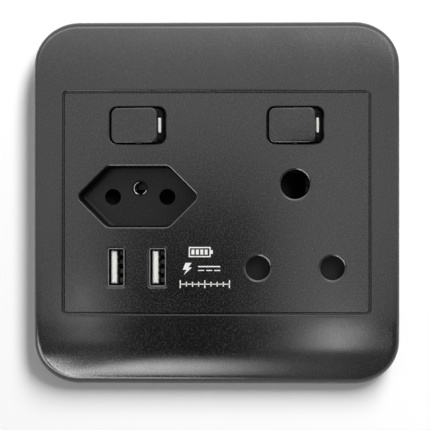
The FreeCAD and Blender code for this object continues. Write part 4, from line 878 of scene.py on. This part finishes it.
ACROSS = (5.0, 1.0, 1.0)  # scratches packed along X
DEEP = (1.0, 4.0, 1.0)
UPRIGHT = (1.0, 1.0, 6.0)
MATERIALS = {
    "cover": moulded("moulded_cover", 0.0062, 0.0078, 0.145, 0.000006, speck=0.026),
    "face": moulded("moulded_face", 0.0045, 0.006, 0.155, 0.000007, speck=0.034),
    "well": moulded("moulded_well", 0.0035, 0.0045, 0.30, 0.000010, speck=0.02, shine=0.22),
    "rocker": moulded("moulded_rocker", 0.0045, 0.006, 0.155, 0.000007),
    # near-black plastic for the sheet of painted shade in the well
    "painted_shade": moulded("painted_shade_black", 0.0015, 0.002, 0.5, 0.000010, speck=0.006, shine=0.12),
    "white_mark": pale("white_mark", (0.82, 0.81, 0.78), 0.4),
    "housing": moulded("moulded_housing", 0.014, 0.020, 0.5, 0.000015, speck=0.035),
    "yoke_steel": metal(
        "zinc_plate", (0.56, 0.57, 0.58), 0.32, UPRIGHT, 700.0, tarnish=(0.42, 0.43, 0.42), spangle=260.0
    ),
    "brass": metal("rolled_brass", (0.78, 0.56, 0.25), 0.28, ACROSS, tarnish=(0.5, 0.33, 0.14)),
    # tinned brass darkened as painted shade, for the earth bar deep in its hole; its dark patches add to the
    # shade
    "tin_in_painted_shade": metal("tinned_brass_in_painted_shade", (0.17, 0.165, 0.15), 0.34, ACROSS, tarnish=(0.11, 0.105, 0.09)),
    "sleeve_lip": metal("sleeve_lip", (0.62, 0.62, 0.61), 0.28, ACROSS),
    "silver": metal("silver_face", (0.86, 0.85, 0.82), 0.3),
    "steel": metal("zinc_screw", grey(0.6), 0.3),
    "spring_steel": metal("spring_wire", (0.52, 0.52, 0.53), 0.25),
    "shutter": pale("shutter_nylon", grey(0.005), 0.5, shine=0.15),
    "port_metal": metal("port_shell", grey(0.20), 0.34, DEEP),
    "insulator": pale("insulator", (0.74, 0.74, 0.72), 0.42),
    "contact_metal": metal("contact_plating", (0.36, 0.34, 0.30), 0.3),
    "port_root": pale("port_root", grey(0.34), 0.45, shine=0.3),
    "board": pale("board_mask", (0.02, 0.14, 0.06), 0.35),
    "wound_core": pale("wound_core", (0.10, 0.075, 0.03), 0.5),
    "can": metal("can_sleeve", (0.35, 0.36, 0.4), 0.35),
    "chip": pale("chip_body", (0.02, 0.02, 0.021), 0.5),
    "print": pale("print_ink", (0.80, 0.80, 0.79), 0.5),
}


def shading_group(angle):
    """A modifier that shades smooth across every edge below an angle."""
    name = "shade_by_angle_%d" % angle
    tree = bpy.data.node_groups.get(name)
    if tree:
        return tree
    tree = bpy.data.node_groups.new(name, "GeometryNodeTree")
    tree.interface.new_socket("Geometry", in_out="INPUT", socket_type="NodeSocketGeometry")
    tree.interface.new_socket("Geometry", in_out="OUTPUT", socket_type="NodeSocketGeometry")
    add, link = tree.nodes.new, tree.links.new
    start, end = add("NodeGroupInput"), add("NodeGroupOutput")
    faces, edges = add("GeometryNodeSetShadeSmooth"), add("GeometryNodeSetShadeSmooth")
    faces.domain, edges.domain = "FACE", "EDGE"
    turn = add("GeometryNodeInputMeshEdgeAngle")
    limit = add("FunctionNodeCompare")
    limit.data_type, limit.operation = "FLOAT", "LESS_THAN"
    limit.inputs[1].default_value = math.radians(angle)
    link(start.outputs[0], faces.inputs["Geometry"])
    link(faces.outputs[0], edges.inputs["Geometry"])
    link(turn.outputs["Unsigned Angle"], limit.inputs[0])
    link(limit.outputs[0], edges.inputs["Shade Smooth"])
    link(edges.outputs[0], end.inputs[0])
    return tree


def dress(piece, finish, angle=None):
    """Gives a piece its material and, with an angle, smooth shading below it."""
    piece.data.materials.clear()
    piece.data.materials.append(MATERIALS[finish])
    if angle:
        group = piece.modifiers.new("shade", "NODES")
        group.node_group = shading_group(angle)


# Finish of the solids: coplanar triangles are merged, edges eased and shading split by angle
CAD_SHADE_ANGLE = 28
EASE_ANGLE = 24.0
FLAT_ANGLE = 0.6
EASED = {
    "socket_face": 0.12,
    "hex_insert": 0.12,
    "rear_housing": 0.2,
    "mounting_yoke": 0.12,
    "usb_left_tongue": 0.06,
    "usb_right_tongue": 0.06,
    "round_shutter": 0.15,
    "hex_shutter": 0.15,
}


def finish_solid(piece, finish, ease):
    weld = piece.modifiers.new("weld", "WELD")
    weld.merge_threshold = 1e-6
    planar = piece.modifiers.new("planar", "DECIMATE")
    planar.decimate_type = "DISSOLVE"
    planar.angle_limit = math.radians(FLAT_ANGLE)
    if ease:
        bevel = piece.modifiers.new("ease", "BEVEL")
        bevel.width = ease * MM
        bevel.segments = 2
        bevel.limit_method = "ANGLE"
        bevel.angle_limit = math.radians(EASE_ANGLE)
    dress(piece, finish, CAD_SHADE_ANGLE)
    flats = piece.modifiers.new("flats", "WEIGHTED_NORMAL")
    flats.keep_sharp = True
    flats.weight = 80


# Pieces
SIDES = (("left", -1), ("right", 1))
SKIN_ANGLE = 32
MOUTH_ANGLE = 40
LIP_ANGLE = 60

dress(cover_piece(), "cover", SKIN_ANGLE)
for name, side in SIDES:
    dress(rocker_piece(name, side), "rocker", SKIN_ANGLE)
    dress(inlay_piece(name, side), "white_mark", SKIN_ANGLE)
dress(print_piece("print_battery", battery_outlines()), "print")
dress(print_piece("print_bolt", bolt_outlines()), "print")
dress(print_piece("print_current", current_outlines()), "print")
dress(print_piece("print_ticks", tick_outlines()), "print")
for name, (x, z, radius) in LARGE_HOLES.items():
    dress(hole_mouth_piece(name, x, z, radius), "cover", MOUTH_ANGLE)
dress(mouth_piece("hexagon_mouth", hexagon_loop, HEX_SOFT), "cover", MOUTH_ANGLE)
# the well's black sheet, painted shade
dress(well_shade_sheet_piece(), "painted_shade", MOUTH_ANGLE)
dress(gap_seal_piece(), "cover", MOUTH_ANGLE)
for name, side in SIDES:
    dress(ledges_piece(name, side), "shutter")
for name, x in PORTS:
    dress(port_insert_piece(name, x), "shutter", MOUTH_ANGLE)
    dress(port_roots_piece(name, x), "port_root", MOUTH_ANGLE)
sleeve_place = (HEX_PLACE[0], HEX_PLACE[1] + SMALL_EARTH_RISE)
dress(earth_collar_shade_piece(*sleeve_place), "shutter")
dress(earth_lip_piece(*sleeve_place), "sleeve_lip", LIP_ANGLE)

finishes = {row["node"]: row["material_slot"] for row in frame["record"]["subparts"]}
# the earth bar is given tin darkened as painted shade
finishes["earth_bar"] = "tin_in_painted_shade"
for node, piece in frame["nodes"].items():
    finish_solid(piece, finishes[node], EASED.get(node, 0.0))

# Room: a white wall with a hole under the cover, open from behind
WALL_GLOW = 0.08
WALL_Y = 0.05
WALL_HOLE_HALF = 57.0
WALL_STEP_HALF = 400.0
WALL_HALF = 3000.0
WALL_HOLE_R = 8.0
WALL_TINTS = (0.90, 0.93)
WALL_TINT_SCALE = 14.0


def wall_material():
    g = Graph("wall_paint")
    rays = g.add("ShaderNodeLightPath").outputs
    paint = g.add("ShaderNodeBsdfDiffuse")
    darker, paler = [grey(tint) for tint in WALL_TINTS]
    g.put(paint.inputs["Color"], g.mix(g.noise(WALL_TINT_SCALE, 3.0), darker, paler))
    through = g.plus(rays["Is Glossy Ray"], rays["Is Transmission Ray"])
    seen = g.math("ADD", rays["Is Camera Ray"], through, clamp=True)
    lit = g.add("ShaderNodeAddShader")
    g.put(lit.inputs[0], paint.outputs[0])
    g.put(lit.inputs[1], g.emission(g.times(seen, WALL_GLOW)))
    clear = g.add("ShaderNodeBsdfTransparent")
    split = g.add("ShaderNodeMixShader")
    g.put(split.inputs[0], g.add("ShaderNodeNewGeometry").outputs["Backfacing"])
    g.put(split.inputs[1], lit.outputs[0])
    g.put(split.inputs[2], clear.outputs[0])
    return g.finish(split.outputs[0])


def wall_piece():
    skin = Skin()
    halves = (WALL_HOLE_HALF, WALL_STEP_HALF, WALL_HALF)
    loops = [rounded_loop(half, half, WALL_HOLE_R, corner=4, straight=4) for half in halves]
    skin.rings([(loop, WALL_Y) for loop in loops])
    piece = make_object("wall", skin.points, skin.faces)
    if piece.data.polygons[0].normal.y > 0:
        piece.data.flip_normals()
    piece.data.materials.append(wall_material())


# Light: a white world, a key lamp up on the right, two lamps behind, and cards that only show in gloss
WORLD_SEEN = 1.0
WORLD_LIGHT = 0.22
WORLD_GLOSS = 0.85  # added to the world's light where it is seen in gloss
# Lamps: place, aim, width, height and watts
LAMPS = {
    "key": ((0.52, -1.0, 1.0), (0.0, -0.012, 0.0), 0.42, 1.0, 30.0),
    "rear": ((0.6, 1.0, 0.7), (0.0, 0.02, 0.0), 0.9, 0.9, 9.0),
    "rear_low": ((-0.8, 0.8, -0.2), (0.0, 0.02, 0.0), 0.9, 0.9, 4.0),
}
CARD_Y = -0.262
CARD_HALF = 0.9
CARD_LOW = -1.1
CARD_HIGH = 1.3
ROOF_BACK_Y = 0.4
ROOF_GLOW = 2.5
# Soft steps on the front card: where each starts and ends, and where given its values there
TENT_LOWER = (0.06, 0.48, 1.74, 2.8)
TENT_UPPER = (0.50, 0.80, 0.0, 3.6)
TENT_FOOT = (-0.11, -0.045, 0.45, 1.0)
LENS_X = -0.020
GAP_HEIGHT = (-0.03, 0.055)
GAP_WIDTH = (0.024, 0.060)
GAP_INNER_WIDTH = (0.026, 0.056)
BESIDE_LEFT = (-0.086, -0.072)
BESIDE_RIGHT = (0.064, 0.076)
BESIDE_LOW = (-0.09, 0.0, 0.42, 0.0)
BESIDE_DIM = 0.12
FLOOR_NEAR = ((-0.06, 0.03), (-0.62, -0.50))
FLOOR_FAR = ((-0.24, -0.16), (-0.26, -0.16))
FLOOR_GLOW = 7.0
# A slanted stripe and upright windows: glow, and the left, right, lower and upper edges
SLANT = 0.5
SLANT_Z = -0.31
STRIPE = (11.5, (-0.078, -0.062), (-0.055, 0.045), (-0.45, -0.34), (-0.31, -0.235))
CARD_WINDOWS = {
    "left_blob": (24.0, (-0.128, -0.120), (-0.108, -0.102), (-0.65, -0.50), (-0.28, -0.235)),
    "right_pane": (8.8, (0.034, 0.064), (0.064, 0.070), (-0.22, -0.18), (-0.125, -0.035)),
    "left_slit": (3.0, (-0.083, -0.079), (-0.070, -0.066), (-0.18, -0.15), (-0.05, -0.03)),
}


def make_world():
    world = bpy.data.worlds.new("studio")
    scene.world = world
    world.use_nodes = True
    tree = world.node_tree
    tree.nodes.clear()
    rays = tree.nodes.new("ShaderNodeLightPath").outputs
    seen = tree.nodes.new("ShaderNodeMapRange")
    seen.inputs["To Min"].default_value = WORLD_LIGHT
    seen.inputs["To Max"].default_value = WORLD_SEEN
    gloss = tree.nodes.new("ShaderNodeMath")
    gloss.operation = "MULTIPLY_ADD"
    gloss.inputs[1].default_value = WORLD_GLOSS
    sky = tree.nodes.new("ShaderNodeBackground")
    sky.inputs["Color"].default_value = (1, 1, 1, 1)
    tree.links.new(rays["Is Camera Ray"], seen.inputs["Value"])
    tree.links.new(rays["Is Glossy Ray"], gloss.inputs[0])
    tree.links.new(seen.outputs["Result"], gloss.inputs[2])
    tree.links.new(gloss.outputs[0], sky.inputs["Strength"])
    tree.links.new(sky.outputs[0], tree.nodes.new("ShaderNodeOutputWorld").inputs["Surface"])


def lamp(name, place, aim, wide, tall, watts):
    light = bpy.data.lights.new(name, "AREA")
    light.shape = "RECTANGLE"
    light.size, light.size_y = wide, tall
    light.energy = watts
    body = bpy.data.objects.new(name, light)
    scene.collection.objects.link(body)
    body.location = place
    body.rotation_euler = (body.location - Vector(aim)).to_track_quat("Z", "Y").to_euler()
    body.visible_camera = False


def card_material():
    """Glow of the front card: an even tent, a dark gap round the lens, and small windows low down."""
    g = Graph("front_card")
    split = g.add("ShaderNodeSeparateXYZ")
    g.put(split.inputs[0], g.place)
    x, z = split.outputs["X"], split.outputs["Z"]

    def step(value, start, end, low=0.0, high=1.0):
        return g.ramp(value, start, end, low, high, "SMOOTHSTEP")

    def fall(value, start, end):
        return step(value, start, end, 1.0, 0.0)

    def window(across, glow, left, right, low, high):
        return g.times(step(across, *left), fall(x, *right), fall(z, *high), step(z, *low), glow)

    tent = g.times(g.plus(step(z, *TENT_LOWER), step(z, *TENT_UPPER)), step(z, *TENT_FOOT))

    above = step(z, *GAP_HEIGHT)
    off = g.math("ABSOLUTE", g.minus(x, LENS_X))
    both = g.times(above, step(off, *GAP_INNER_WIDTH))
    gap = g.minus(g.plus(above, step(off, *GAP_WIDTH)), both)

    beside = g.math("MAXIMUM", fall(x, *BESIDE_LEFT), step(x, *BESIDE_RIGHT))
    dim = g.plus(step(z, *BESIDE_LOW), BESIDE_DIM)
    whole = g.times(tent, gap, g.minus(1.0, g.times(beside, dim)))

    slant = g.minus(x, g.times(g.minus(z, SLANT_Z), SLANT))
    whole = g.plus(whole, window(slant, *STRIPE))
    for shape in CARD_WINDOWS.values():
        whole = g.plus(whole, window(x, *shape))

    near, far = [g.times(fall(x, *right), fall(z, *high)) for right, high in (FLOOR_NEAR, FLOOR_FAR)]
    whole = g.plus(whole, g.times(g.math("MAXIMUM", near, far), FLOOR_GLOW))
    return g.finish(g.emission(whole))


def roof_material():
    g = Graph("roof_card")
    return g.finish(g.emission(ROOF_GLOW))


def card(name, corners, material):
    """A glowing sheet that shows in gloss and nowhere else."""
    mesh = bpy.data.meshes.new(name)
    mesh.from_pydata(corners, [], [(0, 1, 2, 3)])
    mesh.materials.append(material)
    piece = bpy.data.objects.new(name, mesh)
    scene.collection.objects.link(piece)
    for kind in ("camera", "diffuse", "transmission", "volume_scatter", "shadow"):
        setattr(piece, "visible_" + kind, False)


wall_piece()
make_world()
for name, settings in LAMPS.items():
    lamp(name, *settings)
front_corners = [(x, CARD_Y, z) for x, z in bar(-CARD_HALF, CARD_HALF, CARD_LOW, CARD_HIGH)]
roof_corners = [(x, y, CARD_HIGH) for x, y in bar(-CARD_HALF, CARD_HALF, CARD_Y, ROOF_BACK_Y)]
card("front_card", front_corners, card_material())
card("roof_card", roof_corners, roof_material())

# Camera
CAMERA_PLACE = (0.012, -0.512, -0.0040)
CAMERA_AIM = (-0.00043, -0.012, -0.00421)
LENS = 122.8
SENSOR = 36.0

camera_data = bpy.data.cameras.new("camera")
camera = bpy.data.objects.new("camera", camera_data)
scene.collection.objects.link(camera)
camera_data.lens = LENS
camera_data.sensor_width = SENSOR
camera.location = CAMERA_PLACE
camera.rotation_euler = (camera.location - Vector(CAMERA_AIM)).to_track_quat("Z", "Y").to_euler()
scene.camera = camera
